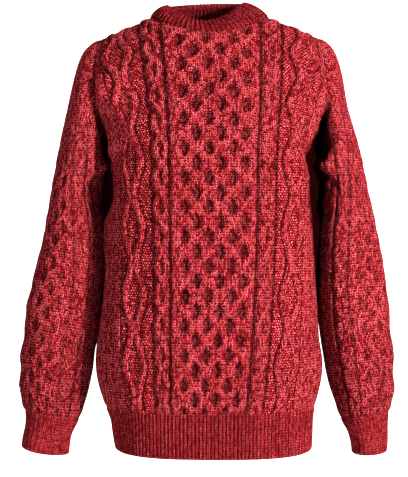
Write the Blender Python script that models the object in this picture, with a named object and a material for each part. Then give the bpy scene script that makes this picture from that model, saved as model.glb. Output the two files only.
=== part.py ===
"""Aran pullover in heavy wool, filled out as if it were worn.

Frame: metres, +X to the right of the front view, -Y to the front, +Z up. The origin is the
middle of the neck opening, level with the points where the neckband meets the shoulder tops.

Every knitted piece is a wall: an outer side that carries the relief of the knitting, a plain
inner side, and rims where it is sewn to its neighbours. A point of a panel is given by q, its
distance across the knitting from the middle, and v, its distance up the knitting.
"""
import math

import bpy
import numpy as np
from mathutils import Vector
from mathutils.geometry import delaunay_2d_cdt

FRONT, BACK = -1, 1
LEFT, RIGHT = -1, 1

# Levels of the body, and the walls.
HEM_FOOT = -0.641
HEM_SEAM = -0.577
CHEST = -0.220          # the arms join here, and the chest starts to lean back to the shoulders
WALL = 0.0024
RIB_WALL = 0.0032
GAP = 0.0003
ROUNDNESS = 2.8         # 2 is an ellipse, more is squarer
STEPS = 60

# The body, row by row: half widths, depths before and behind the side seam, the middle of the
# knitted pattern, its stretch, and the angle at which the panel ends at its side.
BODY_NAMES = "level left right front back middle stretch edge"
BODY = (
    (-0.641, 0.1390, 0.1505, 0.117, 0.110, -0.0020, 0.840, 90),
    (-0.620, 0.1425, 0.1515, 0.118, 0.111, -0.0020, 0.842, 90),
    (-0.594, 0.1465, 0.1525, 0.119, 0.113, -0.0020, 0.845, 90),
    (-0.577, 0.1530, 0.1550, 0.121, 0.115, -0.0018, 0.850, 90),
    (-0.550, 0.1625, 0.1625, 0.124, 0.117, -0.0005, 0.875, 90),
    (-0.515, 0.1680, 0.1665, 0.127, 0.117, 0.0010, 0.900, 90),
    (-0.475, 0.1650, 0.1615, 0.129, 0.115, 0.0020, 0.925, 90),
    (-0.420, 0.1575, 0.1582, 0.129, 0.111, 0.0042, 0.950, 90),
    (-0.360, 0.1520, 0.1562, 0.128, 0.108, 0.0052, 0.970, 90),
    (-0.300, 0.1508, 0.1568, 0.128, 0.108, 0.0057, 0.990, 90),
    (-0.250, 0.1500, 0.1560, 0.127, 0.111, 0.0057, 1.000, 90),
    (-0.220, 0.1485, 0.1530, 0.127, 0.112, 0.0057, 1.000, 90),
    (-0.190, 0.1500, 0.1530, 0.127, 0.112, 0.0057, 1.020, 80),
    (-0.150, 0.1540, 0.1580, 0.127, 0.112, 0.0057, 1.060, 76),
    (-0.120, 0.1645, 0.1700, 0.127, 0.112, 0.0050, 1.085, 71),
    (-0.090, 0.1765, 0.1800, 0.127, 0.112, 0.0040, 1.110, 65),
    (-0.060, 0.1850, 0.1860, 0.127, 0.112, 0.0025, 1.140, 60),
    (-0.030, 0.1895, 0.1900, 0.127, 0.112, 0.0010, 1.170, 56),
    (0.000, 0.1920, 0.1920, 0.127, 0.112, 0.0000, 1.180, 53),
)

# Height of the shoulder line, and of the line that each panel would follow over the neck.
RIDGE_NAMES = "x front back"
RIDGE = (
    (-0.1800, -0.0385, -0.0385),
    (-0.1500, -0.0265, -0.0265),
    (-0.1250, -0.0160, -0.0160),
    (-0.0885, 0.0000, 0.0000),
    (-0.0600, 0.0140, 0.0310),
    (-0.0300, 0.0235, 0.0550),
    (0.0000, 0.0260, 0.0625),
    (0.0300, 0.0235, 0.0550),
    (0.0600, 0.0140, 0.0310),
    (0.0885, 0.0000, 0.0000),
    (0.1250, -0.0140, -0.0140),
    (0.1500, -0.0245, -0.0245),
    (0.1800, -0.0365, -0.0365),
)

# The neck: where its seam runs on the panels, and the top edge of the band.
NECK_CORNER = 0.0750    # q of the seam's end on the shoulder line
NECK_DROP = {FRONT: 0.106, BACK: 0.095}
BAND_TOP = {FRONT: (0.060, -0.0120), BACK: (0.050, 0.0285)}     # depth and height
BAND_SIDE_HEIGHT = 0.0215
BAND_HALF_WIDTH = 0.056
BAND_SHIFT = -0.006
BAND_TILT = 0.0022
BAND_BULGE = 0.004
BAND_RIBS = 68

# The sleeves, ring by ring: how far the inner and the outer side lie from the middle of the
# body, and the front and the back side.
SLEEVE_NAMES = "level inner outer front back"
SLEEVES = {
    LEFT: (
        (-0.648, 0.2090, 0.2785, -0.055, 0.007),
        (-0.632, 0.2080, 0.2770, -0.055, 0.007),
        (-0.609, 0.2040, 0.2720, -0.055, 0.008),
        (-0.594, 0.1960, 0.2720, -0.059, 0.014),
        (-0.571, 0.1870, 0.2775, -0.066, 0.024),
        (-0.540, 0.1790, 0.2805, -0.071, 0.034),
        (-0.516, 0.1745, 0.2815, -0.072, 0.038),
        (-0.489, 0.1720, 0.2780, -0.072, 0.041),
        (-0.448, 0.1640, 0.2710, -0.072, 0.044),
        (-0.392, 0.1570, 0.2610, -0.070, 0.049),
        (-0.345, 0.1542, 0.2492, -0.068, 0.053),
        (-0.300, 0.1540, 0.2415, -0.066, 0.055),
        (-0.261, 0.1575, 0.2358, -0.064, 0.056),
    ),
    RIGHT: (
        (-0.650, 0.2120, 0.2610, -0.060, 0.012),
        (-0.624, 0.2090, 0.2630, -0.060, 0.012),
        (-0.609, 0.2050, 0.2630, -0.060, 0.013),
        (-0.594, 0.1970, 0.2640, -0.062, 0.017),
        (-0.560, 0.1850, 0.2710, -0.069, 0.026),
        (-0.537, 0.1780, 0.2730, -0.071, 0.032),
        (-0.516, 0.1735, 0.2728, -0.072, 0.036),
        (-0.497, 0.1705, 0.2718, -0.072, 0.039),
        (-0.460, 0.1650, 0.2690, -0.072, 0.043),
        (-0.420, 0.1610, 0.2642, -0.071, 0.046),
        (-0.390, 0.1600, 0.2605, -0.070, 0.049),
        (-0.330, 0.1592, 0.2500, -0.068, 0.053),
        (-0.287, 0.1602, 0.2418, -0.066, 0.055),
        (-0.261, 0.1635, 0.2360, -0.064, 0.056),
    ),
}
SLEEVE_HEAD = -0.261    # the head of the sleeve turns in from here to the armhole
SLEEVE_ROUNDNESS = 2.2
CUFF_SEAM = -0.588
CUFF_LENGTH = 0.058
CUFF_RIBS = 29
SLEEVE_GIRTH = 0.340
SLEEVE_LONGEST = 0.600
HEAD_REACH = {LEFT: (0.44, 1.30), RIGHT: (0.38, 1.30)}
HEAD_SLOPE = 0.42
HEAD_WEIGHT = (1.2, 1.8)

# The knitting on the panels: places across them, and the heights of the repeats.
HONEY_COLUMN = 0.0169
HONEY_COLUMNS = 7
HONEY_STEP = 0.0209     # from a row of pits to the staggered row above it
CABLE_MIDDLE = 0.0755
CABLE_HALF = 0.0125
GROUND_EDGE = 0.0980
DIAMOND_MIDDLE = 0.1200
DIAMOND_EDGE = 0.1420
DIAMOND_NEAR, DIAMOND_FAR = 0.0036, 0.0165
DIAMOND_PERIOD = 0.0973
DIAMOND_FIRST = 0.0688
SIDE_STRIP = 0.0335
SIDE_SEAM = 0.2430
STRIP_LEAST = 0.008
ROPE_HEIGHT = 0.0036
ROPE_HALF = 0.0045
STRIP_HEIGHT = 0.0018
RIB_HEIGHT = 0.0018
HONEY_BOW = 0.28        # in columns: how far the ropes bow apart, and half their width
HONEY_ROPE = 0.34
FADE = 0.010            # the relief sinks to the ground this close to a seam
SIDE_FADE = 0.030       # and this close to the lines where body and sleeve lie side by side
HEM_RIBS = 75

# The knitting on the sleeves.
SLEEVE_HONEY_COLUMN = 0.0145
SLEEVE_HONEY_COLUMNS = 4
SLEEVE_HONEY_STEP = 0.0180
SLEEVE_CABLE_MIDDLE = 0.0440
SLEEVE_COLUMN_EDGE = 0.0300
SLEEVE_EDGE = 0.0580
SLEEVE_STRIP = 0.0355
SLEEVE_TURNS = (0.31, 0.36, 0.44)   # middle of the pattern at the cuff, head and shoulder

# Where the points of the walls lie.
ARMHOLE_STEPS = 20
BESIDE_SEAM = 0.009     # a line of points this far from the armhole holds the fold beside it
HEM_STEP = 0.0162
SIDE_STEP = 0.030
SHOULDER_STEPS = (0.050, 0.017)     # outside the diamonds, and from them to the neck
STRIP_STEP = 0.034
INNER_BODY = (0.045, 0.035)         # rows and places on the plain inner side, below the arms
INNER_CHEST = (0.022, 0.022)        # and above them
RIM_ROOM = 0.0035
INNER_ROOM = 0.009
SLEEVE_FEET = 24
UNDERARM_STEPS = (0.030, 0.012)     # up the sleeve's tube and its head
SLEEVE_STRIP_STEPS = (0.036, 0.020)
INNER_SLEEVE = (0.11, 0.045)        # turn and height
INNER_HEAD = (0.3, 0.6, 0.8, 1.0)   # shares of the way up the head
RIM_TURN = 0.012
NORMAL_STEP = 0.0005
BAND_STEP = 0.004
HEM_RATIO, CUFF_RATIO, BAND_RATIO = 6, 2, 4     # half ribs to one point of the inner side
RIB_ROWS = ((0.0, 1.0), (0.9, 1.0), (1.0, 0.0))     # height up the band, share of the relief
BAND_ROWS = ((0.0, 0.0), (0.15, 1.0), (0.55, 1.0), (1.0, 0.6))


def read(names, rows):
    """A table's columns by name."""
    return dict(zip(names.split(), np.array(rows).T))


BODY_AT = read(BODY_NAMES, BODY)
RIDGE_AT = read(RIDGE_NAMES, RIDGE)
SLEEVE_AT = {side: read(SLEEVE_NAMES, rows) for side, rows in SLEEVES.items()}


def smooth(at, knots, values):
    """Soft curve through a table's rows."""
    slopes = np.gradient(values, knots)
    at = np.clip(at, knots[0], knots[-1])
    i = np.clip(np.searchsorted(knots, at) - 1, 0, len(knots) - 2)
    span = knots[i + 1] - knots[i]
    t = (at - knots[i]) / span
    return ((2 * t ** 3 - 3 * t ** 2 + 1) * values[i]
            + (t ** 3 - 2 * t ** 2 + t) * span * slopes[i]
            + (3 * t ** 2 - 2 * t ** 3) * values[i + 1]
            + (t ** 3 - t ** 2) * span * slopes[i + 1])


def squared(value, roundness):
    """A sine or cosine bent from an ellipse towards a rectangle."""
    return np.sign(value) * np.abs(value) ** (2 / roundness)


def lengths(points):
    """Distance along a run of points."""
    steps = np.linalg.norm(np.diff(points, axis=0), axis=1)
    return np.concatenate([[0.0], np.cumsum(steps)])


def unit(vectors):
    return vectors / np.linalg.norm(vectors, axis=-1, keepdims=True)


# The body.

def torso(side, angle, level):
    """Body points: angle 0 is the middle of the panel and 90 degrees the side seam."""
    half = np.where(angle < 0, smooth(level, BODY_AT["level"], BODY_AT["left"]),
                    smooth(level, BODY_AT["level"], BODY_AT["right"]))
    name = "front" if side == FRONT else "back"
    depth = smooth(level, BODY_AT["level"], BODY_AT[name])
    rise = np.clip(1 - level / CHEST, 0, 1)
    x = half * squared(np.sin(angle), ROUNDNESS)
    y = side * depth * squared(np.abs(np.cos(angle)), ROUNDNESS) * np.sqrt(1 - rise ** 2)
    top = smooth(x, RIDGE_AT["x"], RIDGE_AT[name])
    z = np.where(level < CHEST, level, CHEST + (top - CHEST) * rise)
    return np.stack([x, y, z + 0 * x], axis=-1)


def edge_angle(level):
    return np.radians(smooth(level, BODY_AT["level"], BODY_AT["edge"]))


def climb(side):
    """Levels up the middle of a panel, and the distance v of each above the hem seam."""
    arch = np.sin(np.linspace(0, math.pi / 2, 4 * STEPS))
    levels = np.concatenate([[HEM_FOOT], np.linspace(HEM_SEAM, CHEST, STEPS), CHEST * (1 - arch[1:])])
    points = torso(side, np.zeros(len(levels)), levels)
    along = lengths(points)
    return levels, along - along[1]


CLIMB = {side: climb(side) for side in (FRONT, BACK)}
TOP = {side: CLIMB[side][1][-1] for side in (FRONT, BACK)}


def level_at(side, v):
    levels, along = CLIMB[side]
    return float(np.interp(v, along, levels))


def course(side, level):
    """Angles along one row of knitting, and the distance of each from the middle."""
    edge = edge_angle(level)
    angles = edge * np.sin(np.linspace(-math.pi / 2, math.pi / 2, 2 * STEPS + 1))
    along = lengths(torso(side, angles, level)[:, :2])
    return angles, along - along[STEPS]


def body_points(side, q, v):
    """Points of a panel. Past the diamonds its stitches close up to reach the armhole."""
    points = np.empty((len(q), 3))
    marks = np.array([-SIDE_SEAM, -DIAMOND_EDGE, -GROUND_EDGE, GROUND_EDGE, DIAMOND_EDGE, SIDE_SEAM])
    for row in np.unique(v):
        here = v == row
        level = level_at(side, row)
        angles, along = course(side, level)
        middle = smooth(level, BODY_AT["level"], BODY_AT["middle"])
        stretch = smooth(level, BODY_AT["level"], BODY_AT["stretch"])
        ends = along[[0, -1]] + (GAP / 2, -GAP / 2)
        diamond = middle + DIAMOND_EDGE * stretch * np.array([-1, 1])
        diamond = np.clip(diamond, ends[0] + STRIP_LEAST, ends[1] - STRIP_LEAST)
        ground = middle + GROUND_EDGE * stretch * np.array([-1, 1])
        places = np.array([ends[0], diamond[0], ground[0], ground[1], diamond[1], ends[1]])
        angle = np.interp(np.interp(q[here], marks, places), along, angles)
        points[here] = torso(side, angle, level)
    return points


def neck_line(side, q):
    """Height v of the neck seam, or of the shoulder seam beside it."""
    inside = np.clip(1 - (q / NECK_CORNER) ** 2, 0, 1)
    return TOP[side] - GAP / 2 - NECK_DROP[side] * np.sqrt(inside)


# The sleeves.

def armhole(arm, side):
    """One side of the armhole seam from under the arm: levels, shares of its length, points."""
    levels = CHEST * (1 - np.sin(np.linspace(0, math.pi / 2, 2 * STEPS)))
    points = torso(side, arm * edge_angle(levels), levels)
    along = lengths(points)
    return levels, along / along[-1], points


ARMHOLE = {(arm, side): armhole(arm, side) for arm in (LEFT, RIGHT) for side in (FRONT, BACK)}


def armhole_side(turn):
    """Side and share of its seam at a turn round the sleeve."""
    turn = turn % 1.0
    return (FRONT, 2 * turn) if turn <= 0.5 else (BACK, 2 - 2 * turn)


def armhole_point(arm, turn):
    side, share = armhole_side(turn)
    _, shares, points = ARMHOLE[arm, side]
    return np.array([np.interp(share, shares, points[:, i]) for i in range(3)])


def armhole_turn(arm, side, v):
    """Turn round the sleeve at the height v of a panel's edge."""
    levels, shares, _ = ARMHOLE[arm, side]
    half = np.interp(level_at(side, v), levels, shares) / 2
    return float(half) if side == FRONT else float(1 - half)


def tube(arm, turn, level):
    """Ring points of the sleeve: turn 0 faces the body, 0.25 the front and 0.5 outwards."""
    ring = SLEEVE_AT[arm]

    def at(name, where):
        return smooth(where, ring["level"], ring[name])

    def middle(where):
        return (at("inner", where) + at("outer", where)) / 2, (at("front", where) + at("back", where)) / 2

    centre_x, centre_y = middle(level)
    step = 0.02
    above_x, above_y = middle(level + step)
    below_x, below_y = middle(level - step)
    lean_x = (above_x - below_x) / (2 * step)
    lean_y = (above_y - below_y) / (2 * step)
    across = -squared(np.cos(2 * math.pi * turn), SLEEVE_ROUNDNESS) * (at("outer", level) - centre_x)
    ahead = -squared(np.sin(2 * math.pi * turn), SLEEVE_ROUNDNESS) * (at("back", level) - centre_y)
    return np.stack([arm * (centre_x + across), centre_y + ahead,
                     level - lean_x * across - lean_y * ahead], axis=-1)


def head(arm, turn):
    """One line of the sleeve's head, from its top ring (first) to the armhole (last)."""
    start = tube(arm, turn, SLEEVE_HEAD)
    seam = armhole_point(arm, turn)
    corner = seam + (start - seam) * (*HEAD_REACH[arm], 0)
    corner[2] -= HEAD_SLOPE * abs(corner[0] - seam[0])
    weight = HEAD_WEIGHT[0] + HEAD_WEIGHT[1] * math.sin(math.pi * turn) ** 2
    t = np.linspace(0, 1, STEPS)[:, None]
    share = np.concatenate([(1 - t) ** 2, 2 * weight * t * (1 - t), t ** 2], axis=1)
    return share / share.sum(axis=1, keepdims=True) @ np.array([start, corner, seam])


HEAD_START = SLEEVE_HEAD - CUFF_SEAM


def sleeve_points(arm, turn, w):
    """Points of a sleeve, w metres above the cuff's seam."""
    points = tube(arm, turn, CUFF_SEAM + np.minimum(w, HEAD_START))
    for one in np.unique(turn[w > HEAD_START]):
        here = (turn == one) & (w > HEAD_START)
        line = head(arm, float(one))
        along = lengths(line)
        for i in range(3):
            points[here, i] = np.interp(w[here] - HEAD_START, along, line[:, i])
    return points


def sleeve_top(arm, turn):
    return np.array([HEAD_START + lengths(head(arm, float(one)))[-1] for one in np.atleast_1d(turn)]) - GAP


def sleeve_middle(w):
    """Turn at which the middle of the sleeve's pattern lies."""
    return np.interp(w, (0.0, 0.6 * HEAD_START, HEAD_START, HEAD_START + 0.2),
                     (SLEEVE_TURNS[0], SLEEVE_TURNS[0], SLEEVE_TURNS[1], SLEEVE_TURNS[2]))


# The knitting: height of the outer side above the plain ground.

def dome(distance):
    return np.sqrt(np.clip(1 - distance ** 2, 0, 1))


def honeycomb(across, up, columns):
    """Ropes that bow apart round staggered pits; across counts columns from the middle."""
    place = across + columns / 2 - 1
    height = np.zeros_like(place)
    for rope in range(-1, columns):
        bow = HONEY_BOW * np.cos(math.pi * up) * (1 if rope % 2 else -1)
        height = np.maximum(height, dome((place - rope - 0.5 - bow) / HONEY_ROPE))
    return height * (np.abs(across) < columns / 2)


def chain(across, up, reach):
    """Two ropes that cross once a repeat and leave a round link between."""
    sway = reach * np.sin(math.pi * up)
    return np.maximum(dome((across - sway) / ROPE_HALF), dome((across + sway) / ROPE_HALF))


def diamond_reach(v):
    """Distance of the travelling ropes from the middle of their column."""
    phase = np.abs(((v - DIAMOND_FIRST) / DIAMOND_PERIOD) % 1.0 - 0.5) * 2
    return DIAMOND_NEAR + (DIAMOND_FAR - DIAMOND_NEAR) * phase


def strips(across, width):
    """Broad plain columns with a groove on each side."""
    place = (across / width) % 1.0 * 2 - 1
    return 1 - np.abs(place) ** 4


def body_relief(q, v):
    across = np.abs(q)
    up = v / HONEY_STEP - 1
    height = ROPE_HEIGHT * honeycomb(q / HONEY_COLUMN, up, HONEY_COLUMNS)
    cable = chain(across - CABLE_MIDDLE, up / 2, CABLE_HALF - ROPE_HALF)
    height = np.maximum(height, ROPE_HEIGHT * cable)
    rope = dome((np.abs(across - DIAMOND_MIDDLE) - diamond_reach(v)) / ROPE_HALF)
    height = np.maximum(height, ROPE_HEIGHT * rope)
    side = STRIP_HEIGHT * strips(across - DIAMOND_EDGE, SIDE_STRIP)
    return np.where(across > DIAMOND_EDGE, side, height)


def sleeve_relief(q, w):
    across = np.abs(q)
    up = w / SLEEVE_HONEY_STEP
    height = ROPE_HEIGHT * honeycomb(q / SLEEVE_HONEY_COLUMN, up, SLEEVE_HONEY_COLUMNS)
    cable = chain(across - SLEEVE_CABLE_MIDDLE, up / 2, CABLE_HALF - ROPE_HALF)
    height = np.maximum(height, ROPE_HEIGHT * cable)
    side = STRIP_HEIGHT * strips(across - SLEEVE_EDGE, SLEEVE_STRIP)
    return np.where(across > SLEEVE_EDGE, side, height)


# Meshes.

def add_mesh(name, points, faces, material):
    mesh = bpy.data.meshes.new(name)
    mesh.from_pydata([tuple(map(float, point)) for point in points], [], faces)
    mesh.materials.append(material)
    mesh.shade_smooth()
    thing = bpy.data.objects.new(name, mesh)
    bpy.context.scene.collection.objects.link(thing)
    return thing


def make_wool(name, colour, roughness):
    wool = bpy.data.materials.new(name)
    wool.use_nodes = True
    shader = wool.node_tree.nodes["Principled BSDF"]
    shader.inputs["Base Color"].default_value = (*colour, 1.0)
    shader.inputs["Roughness"].default_value = roughness
    shader.inputs["Metallic"].default_value = 0.0
    shader.inputs["Sheen Weight"].default_value = 0.3
    return wool


def triangulate(flat, rim, runs):
    """Triangles inside the rim polygon, with the runs of points kept as edges."""
    edges = [pair for run in runs for pair in zip(run[:-1], run[1:])]
    made = delaunay_2d_cdt([Vector(map(float, point)) for point in flat], edges, [list(rim)], 1, 1e-7)
    source = [ids[0] for ids in made[3]]
    return [[source[i] for i in face] for face in made[2]]


def normals_of(points_at, a, b, outward):
    """Outward unit normals of a surface that is given by two measures."""
    along_a = points_at(a + NORMAL_STEP, b) - points_at(a - NORMAL_STEP, b)
    along_b = points_at(a, b + NORMAL_STEP) - points_at(a, b - NORMAL_STEP)
    return unit(np.cross(along_a, along_b)) * outward


def turn_faces(faces, outward):
    return faces if outward > 0 else [face[::-1] for face in faces]


def body_normals(side, q, v):
    limit = SIDE_SEAM - 2 * NORMAL_STEP
    within = np.clip(q, -limit, limit)
    return normals_of(lambda a, b: body_points(side, a, b), within, v, -side)


def sleeve_normals(arm, turn, w):
    def at(a, b):
        return sleeve_points(arm, a / SLEEVE_GIRTH, b)
    return normals_of(at, turn * SLEEVE_GIRTH, w, arm)


def armhole_lean(arm, turn):
    """Way through the wall at the armhole, shared by the panel and the sleeve."""
    side, share = armhole_side(turn)
    levels, shares, _ = ARMHOLE[arm, side]
    v = np.interp(np.interp(share, shares, levels), *CLIMB[side])
    turn = np.array([turn])
    sleeve = sleeve_normals(arm, turn, sleeve_top(arm, turn) - BAND_STEP / 2)[0]
    panel = body_normals(side, np.array([arm * SIDE_SEAM]), np.array([v]))[0]
    lean = unit(panel + sleeve)
    return lean / max(0.5, float(lean @ panel))


def fade(distance):
    """Relief sinks into the ground next to a seam."""
    t = np.clip(distance / FADE, 0, 1)
    return t * t * (3 - 2 * t)


def rim_faces(loop, shift, points):
    """Strip between an outer loop and its inner one, cut the same way as the next piece's."""
    faces = []
    for a, b in zip(loop, loop[1:] + loop[:1]):
        if points[a][2] < points[b][2]:
            faces += [[a, b + shift, b], [a, a + shift, b + shift]]
        else:
            faces += [[a, a + shift, b], [a + shift, b + shift, b]]
    return faces


# The panels.

def spread(first, last, step):
    count = max(2, round(abs(last - first) / step) + 1)
    return np.linspace(first, last, count)


def armhole_foot(side):
    return float(np.interp(CHEST, *CLIMB[side]))


def armhole_rows(arm, side):
    """Heights of the points along a panel's armhole edge, which the sleeve's points match."""
    levels, shares, _ = ARMHOLE[arm, side]
    at = np.interp(np.linspace(0, 1, ARMHOLE_STEPS + 1), shares, levels)
    return np.minimum(np.interp(at, *CLIMB[side]), TOP[side] - GAP / 2)


def panel_rim(side):
    """The panel's outline in q and v, anticlockwise from the left foot."""
    foot = GAP / 2
    top = TOP[side] - GAP / 2
    bottom = [(q, foot) for q in spread(-SIDE_SEAM, SIDE_SEAM, HEM_STEP)]
    below = spread(foot, armhole_foot(side), SIDE_STEP)[1:]
    right = [(SIDE_SEAM, v) for v in (*below, *armhole_rows(RIGHT, side)[1:])]
    shoulder = [(q, top) for q in spread(SIDE_SEAM, DIAMOND_EDGE, SHOULDER_STEPS[0])[1:]]
    shoulder += [(q, top) for q in spread(DIAMOND_EDGE, NECK_CORNER, SHOULDER_STEPS[1])[1:]]
    swing = np.linspace(math.pi / 2, -math.pi / 2, BAND_RIBS // 2 + 1)[1:-1]
    neck = [(NECK_CORNER * math.sin(a), top - NECK_DROP[side] * math.cos(a)) for a in swing]
    mirrored = [(-q, v) for q, v in reversed(shoulder)] + [(-SIDE_SEAM, top)]
    left = [(-SIDE_SEAM, v) for v in (*below, *armhole_rows(LEFT, side)[1:-1])][::-1]
    return bottom + right + shoulder + neck + mirrored + left


def panel_runs(side):
    """Runs of points along the ropes, grooves and strips, each from low to high."""
    top = TOP[side]
    quarter = HONEY_STEP / 2
    runs = []
    rows = np.arange(1, int(top / quarter) + 1)
    for half_column in range(-HONEY_COLUMNS, HONEY_COLUMNS + 1):
        pits_here = (half_column + HONEY_COLUMNS) % 2 == 0
        runs.append((False, [(half_column * HONEY_COLUMN / 2, k * quarter) for k in rows
                             if k % 2 == 0 or not pits_here]))
    zigzag = DIAMOND_FIRST + np.arange(-3, 4 * top / DIAMOND_PERIOD) * DIAMOND_PERIOD / 4
    for mirror in (-1, 1):
        for edge in (HONEY_COLUMN * HONEY_COLUMNS / 2 + 0.003, CABLE_MIDDLE + CABLE_HALF):
            runs.append((True, [(mirror * edge, k * quarter) for k in rows[::2]]))
        sway = CABLE_HALF - ROPE_HALF
        runs.append((False, [(mirror * CABLE_MIDDLE, k * quarter) for k in rows[1::2]]))
        for way in (-1, 1):
            crest = [(mirror * (CABLE_MIDDLE + way * sway * abs(math.sin(math.pi / 2 * (k / 2 - 1)))),
                      k * quarter) for k in rows if k % 4 != 2]
            runs.append((False, crest))
            for foot in (0, ROPE_HALF):
                line = [(mirror * (DIAMOND_MIDDLE + way * (float(diamond_reach(v)) + foot)), v)
                        for v in zigzag]
                runs.append((True, line))
            moss = [(mirror * (DIAMOND_MIDDLE + way * (float(diamond_reach(v)) - ROPE_HALF)), v)
                    for v in zigzag if diamond_reach(v) > ROPE_HALF + 0.003]
            runs.append((False, moss))
        strip_rows = spread(0.0, top, STRIP_STEP)
        for line in np.arange(DIAMOND_EDGE, SIDE_SEAM - 0.01, SIDE_STRIP / 2):
            runs.append((True, [(mirror * float(line), v) for v in strip_rows]))
    return runs


def inside_panel(side, q, v, room):
    """Whether a point lies clear of the panel's outline."""
    limit = min(neck_line(side, q + d) for d in (-room, 0, room))
    return abs(q) < SIDE_SEAM - room and room < v < limit - room


def kept_runs(runs, inside, first_index):
    """The points that lie inside, and the runs among them that become edges."""
    points, chains = [], []
    for fixed, run in runs:
        kept = []
        for point in run:
            if inside(*point):
                kept.append(first_index + len(points))
                points.append(point)
            elif fixed and kept:
                chains.append(kept)
                kept = []
        if fixed and len(kept) > 1:
            chains.append(kept)
    return points, chains


def seam_distance(side, q, v):
    """Distance to the nearest sewn edge of a panel, with the side seam's counted slower."""
    room = np.minimum((SIDE_SEAM - np.abs(q)) * FADE / SIDE_FADE, v)
    room = np.minimum(room, neck_line(side, q) - v)
    neck_radius = np.hypot(q / NECK_CORNER, (TOP[side] - v) / NECK_DROP[side])
    return np.minimum(room, (neck_radius - 1) * NECK_CORNER)


def make_panel(name, side, material):
    rim = panel_rim(side)
    count = len(rim)
    points, chains = kept_runs(panel_runs(side),
                               lambda q, v: inside_panel(side, q, v, RIM_ROOM), count)
    flat = np.array(rim + points)
    outer_faces = triangulate(flat, range(count), chains)
    rows = [(v, INNER_BODY[1]) for v in spread(SIDE_STEP, armhole_foot(side), INNER_BODY[0])]
    rows += [(v, INNER_CHEST[1]) for v in spread(armhole_foot(side), TOP[side], INNER_CHEST[0])[1:-1]]
    reach = SIDE_SEAM - INNER_CHEST[1]
    plain = [(q, v) for v, step in rows for q in spread(-reach, reach, step)
             if inside_panel(side, q, v, INNER_ROOM)]
    flat_in = np.array(rim + plain)
    inner_faces = triangulate(flat_in, range(count), [])

    q, v = flat.T
    ground = body_points(side, q, v)
    out = body_normals(side, q, v)
    height = body_relief(q, v) * fade(seam_distance(side, q, v))
    height[:count] = 0
    outer = ground + out * height[:, None]

    q, v = flat_in.T
    lean = body_normals(side, q, v)
    for i in range(count):
        if abs(q[i]) == SIDE_SEAM and v[i] >= armhole_foot(side):
            arm = LEFT if q[i] < 0 else RIGHT
            lean[i] = armhole_lean(arm, armhole_turn(arm, side, v[i]))
    inner = body_points(side, q, v) - lean * WALL
    close_wall(name, outer, inner, outer_faces, inner_faces, [list(range(count))], -side, material)


def close_wall(name, outer, inner, outer_faces, inner_faces, loops, outward, material):
    """A closed wall from its two sides, which share the loops' points one for one."""
    shift = len(outer)
    faces = list(outer_faces) + [[i + shift for i in face[::-1]] for face in inner_faces]
    for loop in loops:
        faces += rim_faces(loop, shift, outer)
    used = sorted({i for face in faces for i in face})
    renumber = {old: new for new, old in enumerate(used)}
    points = np.concatenate([outer, inner])[used]
    faces = [[renumber[i] for i in face] for face in faces]
    add_mesh(name, points, turn_faces(faces, outward), material)


# The sleeves' meshes.

def make_sleeve(name, arm, material):
    feet = np.linspace(0, 1, SLEEVE_FEET + 1)
    tops = np.linspace(0, 1, 2 * ARMHOLE_STEPS + 1)
    under = sleeve_top(arm, 0.0)[0]
    sides = np.array([*spread(GAP / 2, HEAD_START, UNDERARM_STEPS[0]),
                      *spread(HEAD_START, under, UNDERARM_STEPS[1])[1:]])
    rim = [(turn, GAP / 2) for turn in feet] + [(1.0, w) for w in sides[1:]]
    rim += [(turn, sleeve_top(arm, turn)[0]) for turn in tops[-2::-1]] + [(0.0, w) for w in sides[-2:0:-1]]
    count = len(rim)

    def inside(turn, w):
        limit = min(sleeve_top(arm, turn + d)[0] for d in (-RIM_TURN, 0, RIM_TURN))
        return RIM_TURN < turn < 1 - RIM_TURN and RIM_ROOM < w < limit - 2 * BESIDE_SEAM

    points, chains = kept_runs(sleeve_runs(), inside, count)
    points += [(turn, sleeve_top(arm, turn)[0] - BESIDE_SEAM) for turn in tops[1:-1]]
    metric = np.array([SLEEVE_GIRTH, 1.0])
    flat = np.array(rim + points)
    outer_faces = triangulate(flat * metric, range(count), chains)
    plain = [(turn, w) for turn in spread(INNER_SLEEVE[0] / 2, 1 - INNER_SLEEVE[0] / 2, INNER_SLEEVE[0])
             for w in spread(UNDERARM_STEPS[0], HEAD_START, INNER_SLEEVE[1])]
    for turn in (tops[1], *tops[2:-2:2], tops[-2]):
        rise = sleeve_top(arm, turn)[0] - BESIDE_SEAM - HEAD_START
        plain += [(turn, HEAD_START + rise * share) for share in INNER_HEAD]
    flat_in = np.array(rim + plain)
    inner_faces = triangulate(flat_in * metric, range(count), [])

    turn, w = flat.T
    out = sleeve_normals(arm, turn, w)
    tops_here = sleeve_top(arm, turn)
    q = (turn - sleeve_middle(w)) * SLEEVE_GIRTH
    under_arm = np.minimum(turn, 1 - turn) * SLEEVE_GIRTH
    height = sleeve_relief(q, w) * fade(np.minimum(w, tops_here - w)) * fade(under_arm * FADE / SIDE_FADE)
    height[:count] = 0
    outer = sleeve_points(arm, turn, w) + out * height[:, None]
    turn, w = flat_in.T
    lean = sleeve_normals(arm, turn, w)
    first_top = len(feet) + len(sides) - 2
    on_armhole = list(range(first_top, first_top + len(tops)))
    for i in on_armhole:
        lean[i] = armhole_lean(arm, turn[i])
    inner = sleeve_points(arm, turn, w) - lean * WALL

    # The two sides of the flat knitting meet under the arm, so their points become one.
    weld = {len(feet) - 1: 0}
    for i in range(len(sides) - 1):
        weld[len(feet) + i] = (count - 1 - i) if i < len(sides) - 2 else on_armhole[-1]
    outer_faces = [[weld.get(i, i) for i in face] for face in outer_faces]
    inner_faces = [[weld.get(i, i) for i in face] for face in inner_faces]
    bottom = list(range(len(feet) - 1))
    top = [weld.get(i, i) for i in on_armhole[:-1]]
    close_wall(name, outer, inner, outer_faces, inner_faces, [bottom, top], arm, material)


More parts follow.
